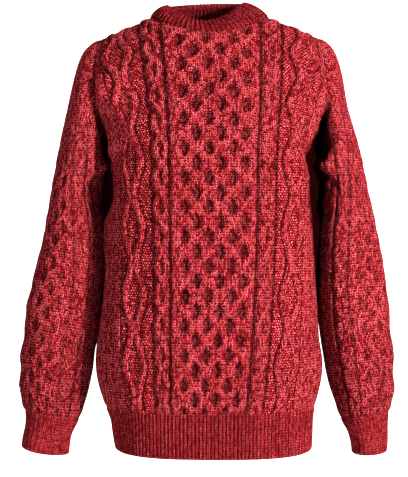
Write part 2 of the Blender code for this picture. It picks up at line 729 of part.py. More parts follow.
def sleeve_runs():
    quarter = SLEEVE_HONEY_STEP / 2
    rows = np.arange(1, int(SLEEVE_LONGEST / quarter))
    rows_up = [*spread(SLEEVE_STRIP_STEPS[1], HEAD_START, SLEEVE_STRIP_STEPS[0]),
               *spread(HEAD_START, SLEEVE_LONGEST, SLEEVE_STRIP_STEPS[1])[1:]]
    runs = []

    def place(q, w):
        return (float(sleeve_middle(w)) + q / SLEEVE_GIRTH, w)

    for half_column in range(-SLEEVE_HONEY_COLUMNS, SLEEVE_HONEY_COLUMNS + 1):
        pits_here = (half_column + SLEEVE_HONEY_COLUMNS) % 2 == 0
        runs.append((False, [place(half_column * SLEEVE_HONEY_COLUMN / 2, k * quarter) for k in rows
                             if k % 2 == 0 or not pits_here]))
    for mirror in (-1, 1):
        sway = CABLE_HALF - ROPE_HALF
        runs.append((False, [place(mirror * SLEEVE_CABLE_MIDDLE, k * quarter) for k in rows[::2]]))
        for way in (-1, 1):
            runs.append((False, [place(mirror * (SLEEVE_CABLE_MIDDLE + way * sway * abs(
                math.sin(math.pi / 4 * k))), k * quarter) for k in rows if k % 4]))
        lines = [SLEEVE_COLUMN_EDGE, *np.arange(SLEEVE_EDGE, SLEEVE_GIRTH, SLEEVE_STRIP / 2)]
        for line in lines:
            runs.append((True, [place(mirror * float(line), w) for w in rows_up]))
    return runs


# The ribbed bands.

def band_faces(loops_of, closed):
    """Quads between loops of the same length, given from one to the next."""
    faces = []
    for low, high in zip(loops_of[:-1], loops_of[1:]):
        pairs = list(zip(range(len(low)), range(1, len(low))))
        if closed:
            pairs.append((len(low) - 1, 0))
        faces += [[low[a], low[b], high[b], high[a]] for a, b in pairs]
    return faces


def strip_between(fine, coarse, ratio, closed):
    """Faces between a ribbed edge and a plain one with a point for every few ribs.

    The edge's even points lie in its grooves, and the long faces reach one of those.
    """
    faces = []
    total = len(fine)
    for j in range(len(coarse) - (0 if closed else 1)):
        run = [fine[(j * ratio + i) % total] for i in range(ratio + 1)]
        far = coarse[(j + 1) % len(coarse)]
        half = ratio // 4 * 2
        faces += [[coarse[j], b, a] for a, b in zip(run[:half], run[1:half + 1])]
        faces.append([coarse[j], far, run[half]])
        faces += [[far, b, a] for a, b in zip(run[half:-1], run[half + 1:])]
    return faces


def make_band(name, place, rows, ribs, ratio, wall, closed, outward, material):
    """Ribbed band: place(a, t) gives its points and normals, t from its foot 0 to its top 1."""
    count = 2 * ribs + (0 if closed else 1)
    a = np.arange(count) / (2 * ribs)
    crest = RIB_HEIGHT * (np.arange(count) % 2)
    if not closed:
        crest[[0, -1]] = 0
    points, fine, coarse = [], [], []
    total = 0
    for t, depth in rows:
        ground, normal = place(a, np.full(count, t))
        points.append(ground + normal * (crest * depth)[:, None])
        fine.append(list(range(total, total + count)))
        total += count
    chosen = np.arange(0, count, ratio)
    for t in (1.0, 0.5, 0.0):
        ground, normal = place(a[chosen], np.full(len(chosen), t))
        points.append(ground - normal * wall)
        coarse.append(list(range(total, total + len(chosen))))
        total += len(chosen)
    faces = band_faces(fine, closed) + band_faces(coarse, closed)
    faces += [face[::-1] for face in strip_between(fine[-1], coarse[0], ratio, closed)]
    faces += strip_between(fine[0], coarse[-1], ratio, closed)
    if not closed:
        first = [loop[0] for loop in fine]
        last = [loop[-1] for loop in fine]
        faces.append(first + [loop[0] for loop in coarse])
        faces.append(last[::-1] + [loop[-1] for loop in coarse[::-1]])
    return add_mesh(name, np.concatenate(points), turn_faces(faces, outward), material)


def make_hem(name, side, material):
    height = HEM_SEAM - HEM_FOOT

    def place(a, t):
        q = SIDE_SEAM * (2 * a - 1)
        v = -height + (height - GAP / 2) * t
        return body_points(side, q, v), body_normals(side, q, v)

    make_band(name, place, RIB_ROWS, HEM_RIBS, HEM_RATIO, RIB_WALL, False, -side, material)


def make_cuff(name, arm, material):
    def place(a, t):
        w = -CUFF_LENGTH + (CUFF_LENGTH - GAP / 2) * t
        return sleeve_points(arm, a, w), sleeve_normals(arm, a, w)

    make_band(name, place, RIB_ROWS, CUFF_RIBS, CUFF_RATIO, RIB_WALL, True, arm, material)


def neck_seam(swing):
    """The neck seam on the panels; swing 0 is the front and half a turn the back."""
    q = (NECK_CORNER - GAP) * np.sin(swing)
    points = np.empty((len(swing), 3))
    out = np.empty((len(swing), 3))
    for side in (FRONT, BACK):
        here = (np.cos(swing) >= 0) if side == FRONT else (np.cos(swing) < 0)
        v = TOP[side] - (NECK_DROP[side] - GAP) * np.abs(np.cos(swing[here]))
        points[here] = body_points(side, q[here], v)
        out[here] = body_normals(side, q[here], v)
    return points, out


def band_top(swing):
    ahead = np.cos(swing)
    depth = np.where(ahead >= 0, BAND_TOP[FRONT][0], BAND_TOP[BACK][0])
    height = np.where(ahead >= 0, BAND_TOP[FRONT][1], BAND_TOP[BACK][1])
    x = BAND_SHIFT + BAND_HALF_WIDTH * np.sin(swing)
    z = BAND_SIDE_HEIGHT + (height - BAND_SIDE_HEIGHT) * ahead ** 2 + BAND_TILT * np.sin(swing)
    return np.stack([x, -depth * ahead, z], axis=-1)


def make_neckband(name, material):
    def surface(swing, t):
        foot, _ = neck_seam(swing)
        return foot + (band_top(swing) - foot) * t[:, None]

    def place(a, t):
        swing = 2 * math.pi * a
        ground = surface(swing, t)
        around = surface(swing + BAND_STEP, t) - surface(swing - BAND_STEP, t)
        upward = band_top(swing) - neck_seam(swing)[0]
        own = unit(np.cross(around, upward))
        panel = neck_seam(swing)[1]
        share = np.clip(t * 4, 0, 1)[:, None]
        bulge = BAND_BULGE * 4 * t * (1 - t)
        return ground + own * bulge[:, None], unit(own * share + panel * (1 - share))

    make_band(name, place, BAND_ROWS, BAND_RIBS, BAND_RATIO, RIB_WALL, True, 1, material)


def main():
    for thing in list(bpy.data.objects):
        bpy.data.objects.remove(thing, do_unlink=True)
    knit = make_wool("knit_wool", (0.33, 0.012, 0.02), 0.92)
    rib = make_wool("rib_wool", (0.27, 0.010, 0.018), 0.92)
    make_panel("front_panel", FRONT, knit)
    make_panel("back_panel", BACK, knit)
    make_sleeve("sleeve_left", LEFT, knit)
    make_sleeve("sleeve_right", RIGHT, knit)
    make_neckband("neckband", rib)
    make_hem("hem_rib_front", FRONT, rib)
    make_hem("hem_rib_back", BACK, rib)
    make_cuff("cuff_left", LEFT, rib)
    make_cuff("cuff_right", RIGHT, rib)


main()
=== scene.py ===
"""The aran pullover as it looks: every knitted piece at the size of its stitches.

The forms repeat the part's own tables. A point of a panel is given by q, its distance across
the knitting from the middle, and v, its distance up the knitting, both in metres.
"""

import math

import bpy
import numpy as np
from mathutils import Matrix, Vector


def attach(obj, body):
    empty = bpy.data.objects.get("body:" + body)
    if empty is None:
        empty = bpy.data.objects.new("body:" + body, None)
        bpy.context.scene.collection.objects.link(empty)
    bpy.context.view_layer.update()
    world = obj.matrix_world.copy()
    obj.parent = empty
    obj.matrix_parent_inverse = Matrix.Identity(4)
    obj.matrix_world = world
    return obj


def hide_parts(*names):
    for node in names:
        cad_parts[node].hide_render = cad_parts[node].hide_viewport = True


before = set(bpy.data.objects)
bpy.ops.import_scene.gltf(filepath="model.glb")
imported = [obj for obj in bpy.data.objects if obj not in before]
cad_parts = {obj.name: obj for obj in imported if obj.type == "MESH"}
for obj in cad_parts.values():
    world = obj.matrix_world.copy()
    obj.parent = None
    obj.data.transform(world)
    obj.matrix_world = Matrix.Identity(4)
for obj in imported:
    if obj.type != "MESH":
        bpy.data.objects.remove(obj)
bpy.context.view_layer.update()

FRONT, BACK = -1, 1
LEFT, RIGHT = -1, 1

# The body. Each level has its half width on the left and right, its depth in front and behind,
# the middle of the knitting, how far the knitting is stretched, and the angle of the side edge.
HEM_FOOT = -0.641
HEM_SEAM = -0.577
CHEST = -0.220
ROUNDNESS = 2.8
STEPS = 240
GRID = 0.0019           # size of the mesh's cells

BODY_NAMES = "level left right front back middle stretch edge"
BODY = (
    (-0.641, 0.1390, 0.1505, 0.117, 0.110, -0.0020, 0.840, 90),
    (-0.620, 0.1425, 0.1515, 0.118, 0.111, -0.0020, 0.842, 90),
    (-0.594, 0.1465, 0.1525, 0.119, 0.113, -0.0020, 0.845, 90),
    (-0.577, 0.1530, 0.1550, 0.121, 0.115, -0.0018, 0.850, 90),
    (-0.550, 0.1625, 0.1625, 0.124, 0.117, -0.0005, 0.875, 90),
    (-0.515, 0.1680, 0.1665, 0.127, 0.117, 0.0010, 0.900, 90),
    (-0.475, 0.1650, 0.1615, 0.129, 0.115, 0.0020, 0.925, 90),
    (-0.420, 0.1575, 0.1582, 0.129, 0.111, 0.0042, 0.950, 90),
    (-0.360, 0.1520, 0.1562, 0.128, 0.108, 0.0052, 0.970, 90),
    (-0.300, 0.1508, 0.1568, 0.128, 0.108, 0.0057, 0.990, 90),
    (-0.250, 0.1500, 0.1560, 0.127, 0.111, 0.0057, 1.000, 90),
    (-0.220, 0.1485, 0.1530, 0.127, 0.112, 0.0057, 1.000, 90),
    (-0.190, 0.1500, 0.1530, 0.127, 0.112, 0.0057, 1.020, 80),
    (-0.150, 0.1540, 0.1580, 0.127, 0.112, 0.0057, 1.060, 76),
    (-0.120, 0.1645, 0.1700, 0.127, 0.112, 0.0050, 1.085, 71),
    (-0.090, 0.1765, 0.1800, 0.127, 0.112, 0.0040, 1.110, 65),
    (-0.060, 0.1850, 0.1860, 0.127, 0.112, 0.0025, 1.140, 60),
    (-0.030, 0.1895, 0.1900, 0.127, 0.112, 0.0010, 1.170, 56),
    (0.000, 0.1920, 0.1920, 0.127, 0.112, 0.0000, 1.180, 53),
)

# The line of the shoulders and neck: its height on the front and on the back.
RIDGE_NAMES = "x front back"
RIDGE = (
    (-0.1800, -0.0385, -0.0385),
    (-0.1500, -0.0265, -0.0265),
    (-0.1250, -0.0160, -0.0160),
    (-0.0885, 0.0000, 0.0000),
    (-0.0600, 0.0140, 0.0310),
    (-0.0300, 0.0235, 0.0550),
    (0.0000, 0.0260, 0.0625),
    (0.0300, 0.0235, 0.0550),
    (0.0600, 0.0140, 0.0310),
    (0.0885, 0.0000, 0.0000),
    (0.1250, -0.0140, -0.0140),
    (0.1500, -0.0245, -0.0245),
    (0.1800, -0.0365, -0.0365),
)

NECK_CORNER = 0.0750
NECK_DROP = {FRONT: 0.106, BACK: 0.095}
BAND_TOP = {FRONT: (0.060, -0.0120), BACK: (0.050, 0.0285)}     # depth and height
BAND_SIDE_HEIGHT = 0.0215
BAND_HALF_WIDTH = 0.0545
BAND_SHIFT = -0.006
BAND_TILT = 0.0022
BAND_BULGE = 0.0045
BAND_RISE = 0.0042      # the back of the band stands up this much in the middle
BAND_BEND = 1.3         # under 2 its back is squarer
HEM_LIFT, HEM_SAG, HEM_TILT = 0.0062, 0.0018, 0.0012
CUFF_LIFT = {LEFT: 0.0060, RIGHT: 0.0035}

# The ribs: how many, the flat width and length of their cut, and how thick they are.
BAND_RIBS, HEM_RIBS, CUFF_RIBS = 68, 75, 29
BAND_CUT, HEM_CUT, CUFF_CUT = 0.46, 0.43, 0.21
BAND_LENGTH, CUFF_LENGTH = 0.034, 0.058
BAND_THICK, RIB_THICK = 0.0075, 0.0040
RIB_CELLS = 8           # mesh cells across a rib
BAND_CELL = 0.0022      # their length along it, and their least number
BAND_ROWS_LEAST = 16
BAND_CELL_BEND = 1.6    # over 1 they are shorter at the free edge
RIB_HEIGHT = 0.0021
RIB_ROUND = 0.7         # under 1 the grooves are narrower
RIB_INSIDE = 0.7        # the ribs' height on the inner side, against the outer
TUCK, TUCK_FROM, TUCK_SPAN = 0.0015, 0.93, 0.07     # the outer side dips in at its seam
HEM_LOOK = (1.0, 0.35, 0.98)    # share of the ribs' height, and how light they are painted in their grooves and on them, as painted shade
CUFF_LOOK = (0.45, 0.84, 0.94)
BAND_LOOK = (1.0, 0.28, 0.82)

# The sleeves. Each level has its inner and outer x, as if on the right, and its front and back y.
SLEEVE_NAMES = "level inner outer front back"
SLEEVES = {
    LEFT: (
        (-0.648, 0.2090, 0.2785, -0.055, 0.007),
        (-0.632, 0.2080, 0.2770, -0.055, 0.007),
        (-0.609, 0.2040, 0.2720, -0.055, 0.008),
        (-0.594, 0.1960, 0.2720, -0.059, 0.014),
        (-0.571, 0.1870, 0.2775, -0.066, 0.024),
        (-0.540, 0.1790, 0.2805, -0.071, 0.034),
        (-0.516, 0.1745, 0.2815, -0.072, 0.038),
        (-0.489, 0.1720, 0.2780, -0.072, 0.041),
        (-0.448, 0.1640, 0.2710, -0.072, 0.044),
        (-0.392, 0.1570, 0.2610, -0.070, 0.049),
        (-0.345, 0.1542, 0.2492, -0.068, 0.053),
        (-0.300, 0.1540, 0.2415, -0.066, 0.055),
        (-0.261, 0.1575, 0.2358, -0.064, 0.056),
    ),
    RIGHT: (
        (-0.650, 0.2120, 0.2610, -0.060, 0.012),
        (-0.624, 0.2090, 0.2630, -0.060, 0.012),
        (-0.609, 0.2050, 0.2630, -0.060, 0.013),
        (-0.594, 0.1970, 0.2640, -0.062, 0.017),
        (-0.560, 0.1850, 0.2710, -0.069, 0.026),
        (-0.537, 0.1780, 0.2730, -0.071, 0.032),
        (-0.516, 0.1735, 0.2728, -0.072, 0.036),
        (-0.497, 0.1705, 0.2718, -0.072, 0.039),
        (-0.460, 0.1650, 0.2690, -0.072, 0.043),
        (-0.420, 0.1610, 0.2642, -0.071, 0.046),
        (-0.390, 0.1600, 0.2605, -0.070, 0.049),
        (-0.330, 0.1592, 0.2500, -0.068, 0.053),
        (-0.287, 0.1602, 0.2418, -0.066, 0.055),
        (-0.261, 0.1635, 0.2360, -0.064, 0.056),
    ),
}
SLEEVE_HEAD = -0.261
SLEEVE_ROUNDNESS = 2.2
CUFF_SEAM = -0.588
HEAD_START = SLEEVE_HEAD - CUFF_SEAM
SLEEVE_GIRTH = 0.340

# Each line of the sleeve's head bends in to the armhole round a corner: its place in x and y
# between the two ends, how far it drops, and its pull at the armpit and what the top adds.
HEAD_REACH = {LEFT: (0.44, 1.30), RIGHT: (0.38, 1.30)}
HEAD_SLOPE = 0.42
HEAD_WEIGHT = (1.2, 1.8)

# The knitting on the panels. Places are distances across it from the middle.
HONEY_COLUMN = 0.0169
HONEY_COLUMNS = 7
HONEY_STEP = 0.0209
HONEY_BOW = 0.31        # in columns: how far the ropes bow apart, and half their width
HONEY_ROPE = 0.50
HONEY_ROUND = 0.8       # under 1 the pits are rounder
HONEY_SLOPE = 1.25      # over 1 the ropes' sides slope more gently
HONEY_BORDER = (0.1, 0.28, 0.75)    # inset and half width in columns, and height
CABLE_MIDDLE = 0.0755
CABLE_HALF = 0.0125
CABLE_MIX = (0.62, 0.38)            # the two ropes' share of a cable, and its round core's
CHAIN_HEIGHT, CHAIN_OVER = 0.9, 0.18    # the ropes' mean height, and what the upper one gains
GROUND_EDGE = 0.0980
GROUND_SOFT = 0.003
DIAMOND_MIDDLE = 0.1200
DIAMOND_EDGE = 0.1420
DIAMOND_PERIOD = 0.0973
DIAMOND_FIRST = 0.0688
DIAMOND_NEAR, DIAMOND_FAR = 0.0036, 0.0153      # the travelling ropes' reach from its middle
DIAMOND_ROPE = 0.0060
MOSS_END = 3            # the higher, the sooner moss stitch gives way to a travelling rope
SIDE_STRIP = 0.0168
SIDE_SEAM = 0.2430
STRIP_LEAST = 0.008
STRIP_SQUARE = 6        # the higher, the narrower the grooves between the plain columns
ROPE_HEIGHT = 0.0068
ROPE_HALF = 0.0048
DIAMOND_HEIGHT = 0.60   # shares of the ropes' height
MOSS_HEIGHT = 0.30
MOSS_UNDER = 0.5        # share of the ground's height that is left under a travelling rope
STRIP_HEIGHT = 0.0016
PIT_LIGHT = 0.40        # painted shade: how light the honeycomb's pits are painted, against its ropes

# Painted shadow along narrow grooves: place, half width, and how dark it is painted on the left and on
# the right.
GROOVE_SHADOWS = ((0.0611, 0.0021, 0.20, 1.0), (0.0900, 0.0019, 0.20, 0.80))
SLEEVE_GROOVE_SHADOWS = ((0.0302, 0.0018, 0.55, 0.55), (0.0572, 0.0018, 0.75, 0.85))

# The groove on each side of a travelling rope, sunk into the ground and with a painted shadow: how dark
# the shadow is painted inside the diamond, outside it, and outside it on the right half's side towards
# the middle.
BESIDE_PLACE = DIAMOND_ROPE + 0.0006
BESIDE_WIDTH = 0.0017
BESIDE_IN, BESIDE_OUT, BESIDE_RIGHT = 0.4, 0.85, 1.0
BESIDE_SUNK = 0.9       # share of the moss ground's height that is gone there

# The knitting on the sleeves.
SLEEVE_HONEY_COLUMN = 0.0145
SLEEVE_HONEY_COLUMNS = 4
SLEEVE_HONEY_STEP = 0.0180
SLEEVE_CABLE_MIDDLE = 0.0440
SLEEVE_CABLE_MIX = (0.45, 0.35)
SLEEVE_EDGE = 0.0580
SLEEVE_STRIP = 0.0178
SLEEVE_HEIGHT = 0.50    # share of the ropes' height on the panels
SLEEVE_SUNK = 0.0012    # the sleeve's ground lies this far inside its ropes' mean line
# Painted shade in the sleeve's honeycomb pits, against its ropes.
SLEEVE_PIT_LIGHT = 0.48
SLEEVE_ROPE_LIGHT = 1.25        # over 1 the sleeve's ropes are painted fully light below their tops
SLEEVE_FOOT = 0.22              # below this the sleeve is painted darker towards the cuff, as painted shade
SLEEVE_FOOT_LIGHT = (0.82, 0.18)
HEAD_PLAIN = (0.035, 0.150)     # the ropes end this far up the sleeve's head
HEAD_PLAIN_HEIGHT = 0.5
SLEEVE_TURNS = (0.31, 0.36, 0.44)       # the turn on which the knitting is centred, and where
SLEEVE_TURN_ROWS = (0.6 * HEAD_START, HEAD_START, HEAD_START + 0.2)

# How far from a seam the knitting's relief and the folds begin to sink, and what is left there.
FADE = 0.007
SEAM_LEAST = 0.25
SHOULDER_FADE = 0.042
FOLD_FADE = 0.02
FOLD_FADE_TURN = 0.05   # in turns, from the sleeve's inner line

# Painted shade in the deep crease between body and sleeve: how far its painted dark part reaches
# from the side seam or the armhole of the body, and from the inner line of the sleeve.
SHADE_NAMES = "v left right"
BODY_SHADE = (
    (0.060, 0.000, 0.000),
    (0.120, 0.000, 0.024),
    (0.187, 0.010, 0.050),
    (0.277, 0.046, 0.074),
    (0.330, 0.072, 0.082),
    (0.360, 0.060, 0.068),
    (0.387, 0.032, 0.042),
    (0.405, 0.024, 0.024),
    (0.425, 0.018, 0.011),
    (0.455, 0.006, 0.003),
    (0.490, -0.010, -0.010),
)
SLEEVE_SHADE = (
    (0.100, -0.010, -0.010),
    (0.190, 0.006, 0.020),
    (0.260, 0.012, 0.028),
    (0.330, 0.014, 0.034),
    (0.380, 0.022, 0.070),
    (0.440, 0.018, 0.072),
    (0.560, 0.008, 0.040),
)
# The painted shade's soft edges, where it ends up the sleeve, how light it is painted at its darkest, and
# the turns where it follows the armhole.
SHADE_SOFT = 0.018
HEAD_SHADE_SOFT = 0.032
SHADE_TOP = 0.365
SHADE_TOP_SOFT = 0.02
SHADE_LIGHT = -0.02
HEAD_SHADE_TURNS = (0.010, 0.040, 0.190, 0.270)
CREASE_PLACE, CREASE_WIDTH = 0.010, 0.010
BODY_CREASE, SLEEVE_CREASE = 0.004, 0.008
BODY_CREASE_ROWS = (0.335, 0.365, 0.430, 0.480)
SIDE_LIT = 0.9          # painted light: the panels are painted this much lighter beside the left armhole
SIDE_LIT_PLACE, SIDE_LIT_WIDTH = 0.045, 0.030
SIDE_LIT_ROWS = (0.330, 0.380, 0.480, 0.530)
PUFF = 0.011            # the panels stand out beside the upper armhole
PUFF_REACH, PUFF_EDGE = 0.050, 0.011
PUFF_ROWS = (0.375, 0.420, 0.500, 0.550)
SIDE_BULGE = 0.0060     # each panel stands out here and covers the gap beside the sleeve
SIDE_BULGE_PLACE, SIDE_BULGE_WIDTH = 0.036, 0.014
SIDE_BULGE_ROWS = (0.190, 0.250, 0.375, 0.420)

# The folds on each piece: place, lean in degrees, half length, half width, rise.
BODY_FOLDS = {
    FRONT: (
        (-0.165, 0.345, 62, 0.070, 0.014, -0.0020),
        (-0.140, 0.330, 48, 0.060, 0.013, 0.0015),
        (-0.185, 0.300, 30, 0.050, 0.012, -0.0040),
        (0.170, 0.355, -60, 0.075, 0.014, -0.0050),
        (0.140, 0.335, -45, 0.060, 0.013, 0.0035),
        (0.190, 0.300, -28, 0.050, 0.012, -0.0040),
        (-0.110, 0.180, 84, 0.110, 0.020, -0.0030),
        (-0.150, 0.140, 96, 0.090, 0.018, 0.0030),
        (0.120, 0.210, 95, 0.120, 0.020, -0.0032),
        (0.155, 0.120, 84, 0.090, 0.018, 0.0030),
        (0.000, 0.060, 2, 0.120, 0.022, 0.0020),
        (-0.130, 0.035, 8, 0.060, 0.014, -0.0030),
        (0.135, 0.040, -10, 0.060, 0.014, -0.0030),
        (-0.090, 0.470, 110, 0.060, 0.018, -0.0025),
        (0.100, 0.480, 72, 0.060, 0.018, -0.0025),
    ),
    BACK: (
        (-0.170, 0.350, 58, 0.070, 0.014, -0.0050),
        (0.165, 0.345, -62, 0.070, 0.014, -0.0050),
        (-0.130, 0.200, 86, 0.110, 0.022, -0.0032),
        (0.110, 0.160, 97, 0.110, 0.020, -0.0030),
        (0.020, 0.240, 88, 0.130, 0.026, 0.0024),
        (0.000, 0.450, 4, 0.090, 0.020, -0.0028),
        (-0.060, 0.050, 5, 0.090, 0.016, -0.0030),
        (0.120, 0.045, -8, 0.070, 0.015, 0.0028),
    ),
}
SLEEVE_FOLDS = {
    LEFT: (
        (0.022, 0.372, -34, 0.034, 0.010, 0.0110),
        (0.030, 0.346, -30, 0.034, 0.009, -0.0030),
        (0.075, 0.345, 24, 0.045, 0.011, -0.0055),
        (0.060, 0.375, 30, 0.045, 0.011, 0.0040),
        (0.050, 0.310, 14, 0.040, 0.012, -0.0045),
        (0.090, 0.270, 10, 0.050, 0.013, 0.0030),
        (0.060, 0.190, -8, 0.050, 0.014, -0.0035),
        (0.140, 0.150, 6, 0.060, 0.016, 0.0025),
        (0.200, 0.100, -6, 0.070, 0.014, -0.0032),
        (0.100, 0.055, 8, 0.070, 0.012, -0.0035),
        (0.180, 0.035, -4, 0.060, 0.010, 0.0025),
        (0.270, 0.230, 8, 0.060, 0.016, -0.0035),
        (0.300, 0.340, -20, 0.050, 0.013, -0.0045),
    ),
    RIGHT: (
        (0.024, 0.380, -34, 0.034, 0.010, 0.0110),
        (0.032, 0.354, -30, 0.034, 0.009, -0.0060),
        (0.075, 0.350, 26, 0.045, 0.011, -0.0055),
        (0.065, 0.380, 30, 0.045, 0.011, 0.0040),
        (0.050, 0.300, 12, 0.040, 0.012, -0.0045),
        (0.085, 0.240, -6, 0.050, 0.014, 0.0030),
        (0.070, 0.170, 10, 0.055, 0.013, -0.0035),
        (0.150, 0.120, -8, 0.060, 0.015, -0.0030),
        (0.110, 0.050, 6, 0.070, 0.012, -0.0035),
        (0.180, 0.030, -5, 0.060, 0.010, 0.0025),
        (0.175, 0.455, 0, 0.045, 0.040, -0.0045),
        (0.270, 0.220, -8, 0.060, 0.016, -0.0035),
        (0.300, 0.330, 18, 0.050, 0.013, -0.0045),
    ),
}

# The wool's stitches. Scales are in noise cells per metre.
STITCH_WIDTH = 0.0044
STITCH_HEIGHT = 0.0037
STITCH_LEAN = 1.8       # rows that the legs of a V climb for each stitch's width
LEG = (0.30, 0.70)      # height between the legs of a V, and what the legs add
BEAD = (0.05, 0.95)     # height between one V and the next, and what the V adds
SEED_WIDTH = 0.0041
SEED_HEIGHT = 0.0036
WANDER = 0.8            # how far the stitches stray from their places, in stitches
WANDER_SCALE = 110.0
SEED_WANDER = 1.8       # seeds stray this much further
FUZZ = 0.6              # height of the fibres, against that of a stitch
FUZZ_SCALE = 1400.0
BUMP_DEPTH = 0.0025

# Its colours. A RAMP gives the two values between which something goes from none to full, a
# LIGHT how light the wool is painted at each of the two, as painted shade in its hollows, and the CALM
# shares draw its tones together.
# A light pink painted as a highlight on the crests of the stitches.
WOOL_PAINTED_HIGHLIGHT = (1.00, 0.230, 0.260, 1.0)
WOOL_LIGHT = (0.88, 0.046, 0.062, 1.0)
WOOL_MID = (0.22, 0.007, 0.012, 1.0)
WOOL_BROWN = (0.32, 0.042, 0.016, 1.0)
# The near-black that painted shade goes towards.
WOOL_PAINTED_SHADE = (0.007, 0.0005, 0.0005, 1.0)
HEATHER_SCALE, PATCH_SCALE = 650.0, 28.0
HEATHER_SHARE, PATCH_SHARE, STITCH_SHARE = 0.50, 0.13, 0.37
TONE_RAMP = (0.30, 0.66)
CREST_RAMP, CREST_TONE_RAMP = (0.55, 0.95), (0.45, 0.72)
FLECK_SCALE, FLECK_RAMP, FLECK_SHARE = 610.0, (0.60, 0.72), 0.55
FIBRE_SCALE, FIBRE_RAMP, FIBRE_LIGHT = 950.0, (0.38, 0.62), (0.30, 1.35)
PLAIN_RAMP, PLAIN_LIGHT = (0.26, 0.86), (0.03, 1.0)
MOSS_RAMP, MOSS_LIGHT = (0.18, 0.95), (0.10, 0.92)
CALM_TONE, CALM_PLAIN, CALM_FIBRE = 1.2, 0.5, (0.8, -0.4)
ROUGH = (0.82, 1.0)
# The ribbed pieces are painted darker all over, as painted shade, and their tones are calmer.
RIB_GAIN, RIB_CALM = 0.56, 0.36

# The camera stands as the photographer did, 2 m from the origin's plane.
CAMERA_PLACE = (-0.00825, -2.0, -0.329)
FOCAL_PIXELS = 1333.0
PHOTO_HEIGHT = 477
SENSOR_HEIGHT = 24.0

# The studio. Each lamp has its place, what it points at, its size and its power.
LAMPS = {
    "key": ((1.75, -1.70, 0.20), (0.0, 0.0, -0.30), 0.24, 278.0),
    "fill": ((-1.9, -1.5, 0.1), (0.0, 0.0, -0.35), 1.2, 46.0),
    "wall": ((0.0, 1.2, 2.6), (0.0, 3.0, -0.4), 2.4, 190.0),
}
WHITE = (1.0, 1.0, 1.0, 1.0)
WORLD_LIGHT = 0.12
PAPER = (0.92, 0.92, 0.92, 1.0)
FLOOR_HEIGHT = -1.2
FLOOR_FRONT, WALL_PLACE, WALL_TOP = -4.0, 3.0, 3.0
SWEEP_BEND = 0.8
SWEEP_HALF = 5.0


def read(names, rows):
    """A table's columns by name."""
    return dict(zip(names.split(), np.array(rows).T))


BODY_AT = read(BODY_NAMES, BODY)
RIDGE_AT = read(RIDGE_NAMES, RIDGE)
SLEEVE_AT = {side: read(SLEEVE_NAMES, rows) for side, rows in SLEEVES.items()}
BODY_SHADE_AT = read(SHADE_NAMES, BODY_SHADE)
SLEEVE_SHADE_AT = read(SHADE_NAMES, SLEEVE_SHADE)


def smooth(at, knots, values):
    """Soft curve through a table's rows."""
    slopes = np.gradient(values, knots)
    at = np.clip(at, knots[0], knots[-1])
    i = np.clip(np.searchsorted(knots, at) - 1, 0, len(knots) - 2)
    span = knots[i + 1] - knots[i]
    t = (at - knots[i]) / span
    return ((2 * t ** 3 - 3 * t ** 2 + 1) * values[i]
            + (t ** 3 - 2 * t ** 2 + t) * span * slopes[i]
            + (3 * t ** 2 - 2 * t ** 3) * values[i + 1]
            + (t ** 3 - t ** 2) * span * slopes[i + 1])


def squared(value, roundness):
    """A sine or cosine bent from an ellipse towards a rectangle."""
    return np.sign(value) * np.abs(value) ** (2 / roundness)


def lengths(points):
    """Distance along a run of points."""
    steps = np.linalg.norm(np.diff(points, axis=0), axis=1)
    return np.concatenate([[0.0], np.cumsum(steps)])


def unit(vectors):
    return vectors / np.maximum(np.linalg.norm(vectors, axis=-1, keepdims=True), 1e-12)


def ease(t):
    t = np.clip(t, 0, 1)
    return t * t * (3 - 2 * t)


# The body.

def torso(side, angle, level):
    """Body points: angle 0 is the middle of the panel and 90 degrees the side seam."""
    half = np.where(angle < 0, smooth(level, BODY_AT["level"], BODY_AT["left"]),
                    smooth(level, BODY_AT["level"], BODY_AT["right"]))
    name = "front" if side == FRONT else "back"
    depth = smooth(level, BODY_AT["level"], BODY_AT[name])
    rise = np.clip(1 - level / CHEST, 0, 1)
    x = half * squared(np.sin(angle), ROUNDNESS)
    y = side * depth * squared(np.abs(np.cos(angle)), ROUNDNESS) * np.sqrt(1 - rise ** 2)
    top = smooth(x, RIDGE_AT["x"], RIDGE_AT[name])
    z = np.where(level < CHEST, level, CHEST + (top - CHEST) * rise)
    return np.stack([x, y, z + 0 * x], axis=-1)


def edge_angle(level):
    return np.radians(smooth(level, BODY_AT["level"], BODY_AT["edge"]))


def climb(side):
    """Levels up the middle of a panel, and the distance v of each above the hem seam."""
    arch = np.sin(np.linspace(0, math.pi / 2, 4 * STEPS))
    levels = np.concatenate([[HEM_FOOT], np.linspace(HEM_SEAM, CHEST, STEPS), CHEST * (1 - arch[1:])])
    along = lengths(torso(side, np.zeros(len(levels)), levels))
    return levels, along - along[1]


CLIMB = {side: climb(side) for side in (FRONT, BACK)}
TOP = {side: CLIMB[side][1][-1] for side in (FRONT, BACK)}


def row_layout(side, v):
    """Level of one row of a panel, its angles and distances along it, and its marks' places."""
    levels, along = CLIMB[side]
    level = float(np.interp(v, along, levels))
    angles = edge_angle(level) * np.sin(np.linspace(-math.pi / 2, math.pi / 2, 2 * STEPS + 1))
    along = lengths(torso(side, angles, level)[:, :2])
    along -= along[STEPS]
    middle = smooth(level, BODY_AT["level"], BODY_AT["middle"])
    stretch = smooth(level, BODY_AT["level"], BODY_AT["stretch"])
    both = np.array([-1, 1])
    diamond = np.clip(middle + DIAMOND_EDGE * stretch * both,
                      along[0] + STRIP_LEAST, along[-1] - STRIP_LEAST)
    ground = middle + GROUND_EDGE * stretch * both
    return level, angles, along, [along[0], diamond[0], *ground, diamond[1], along[-1]]


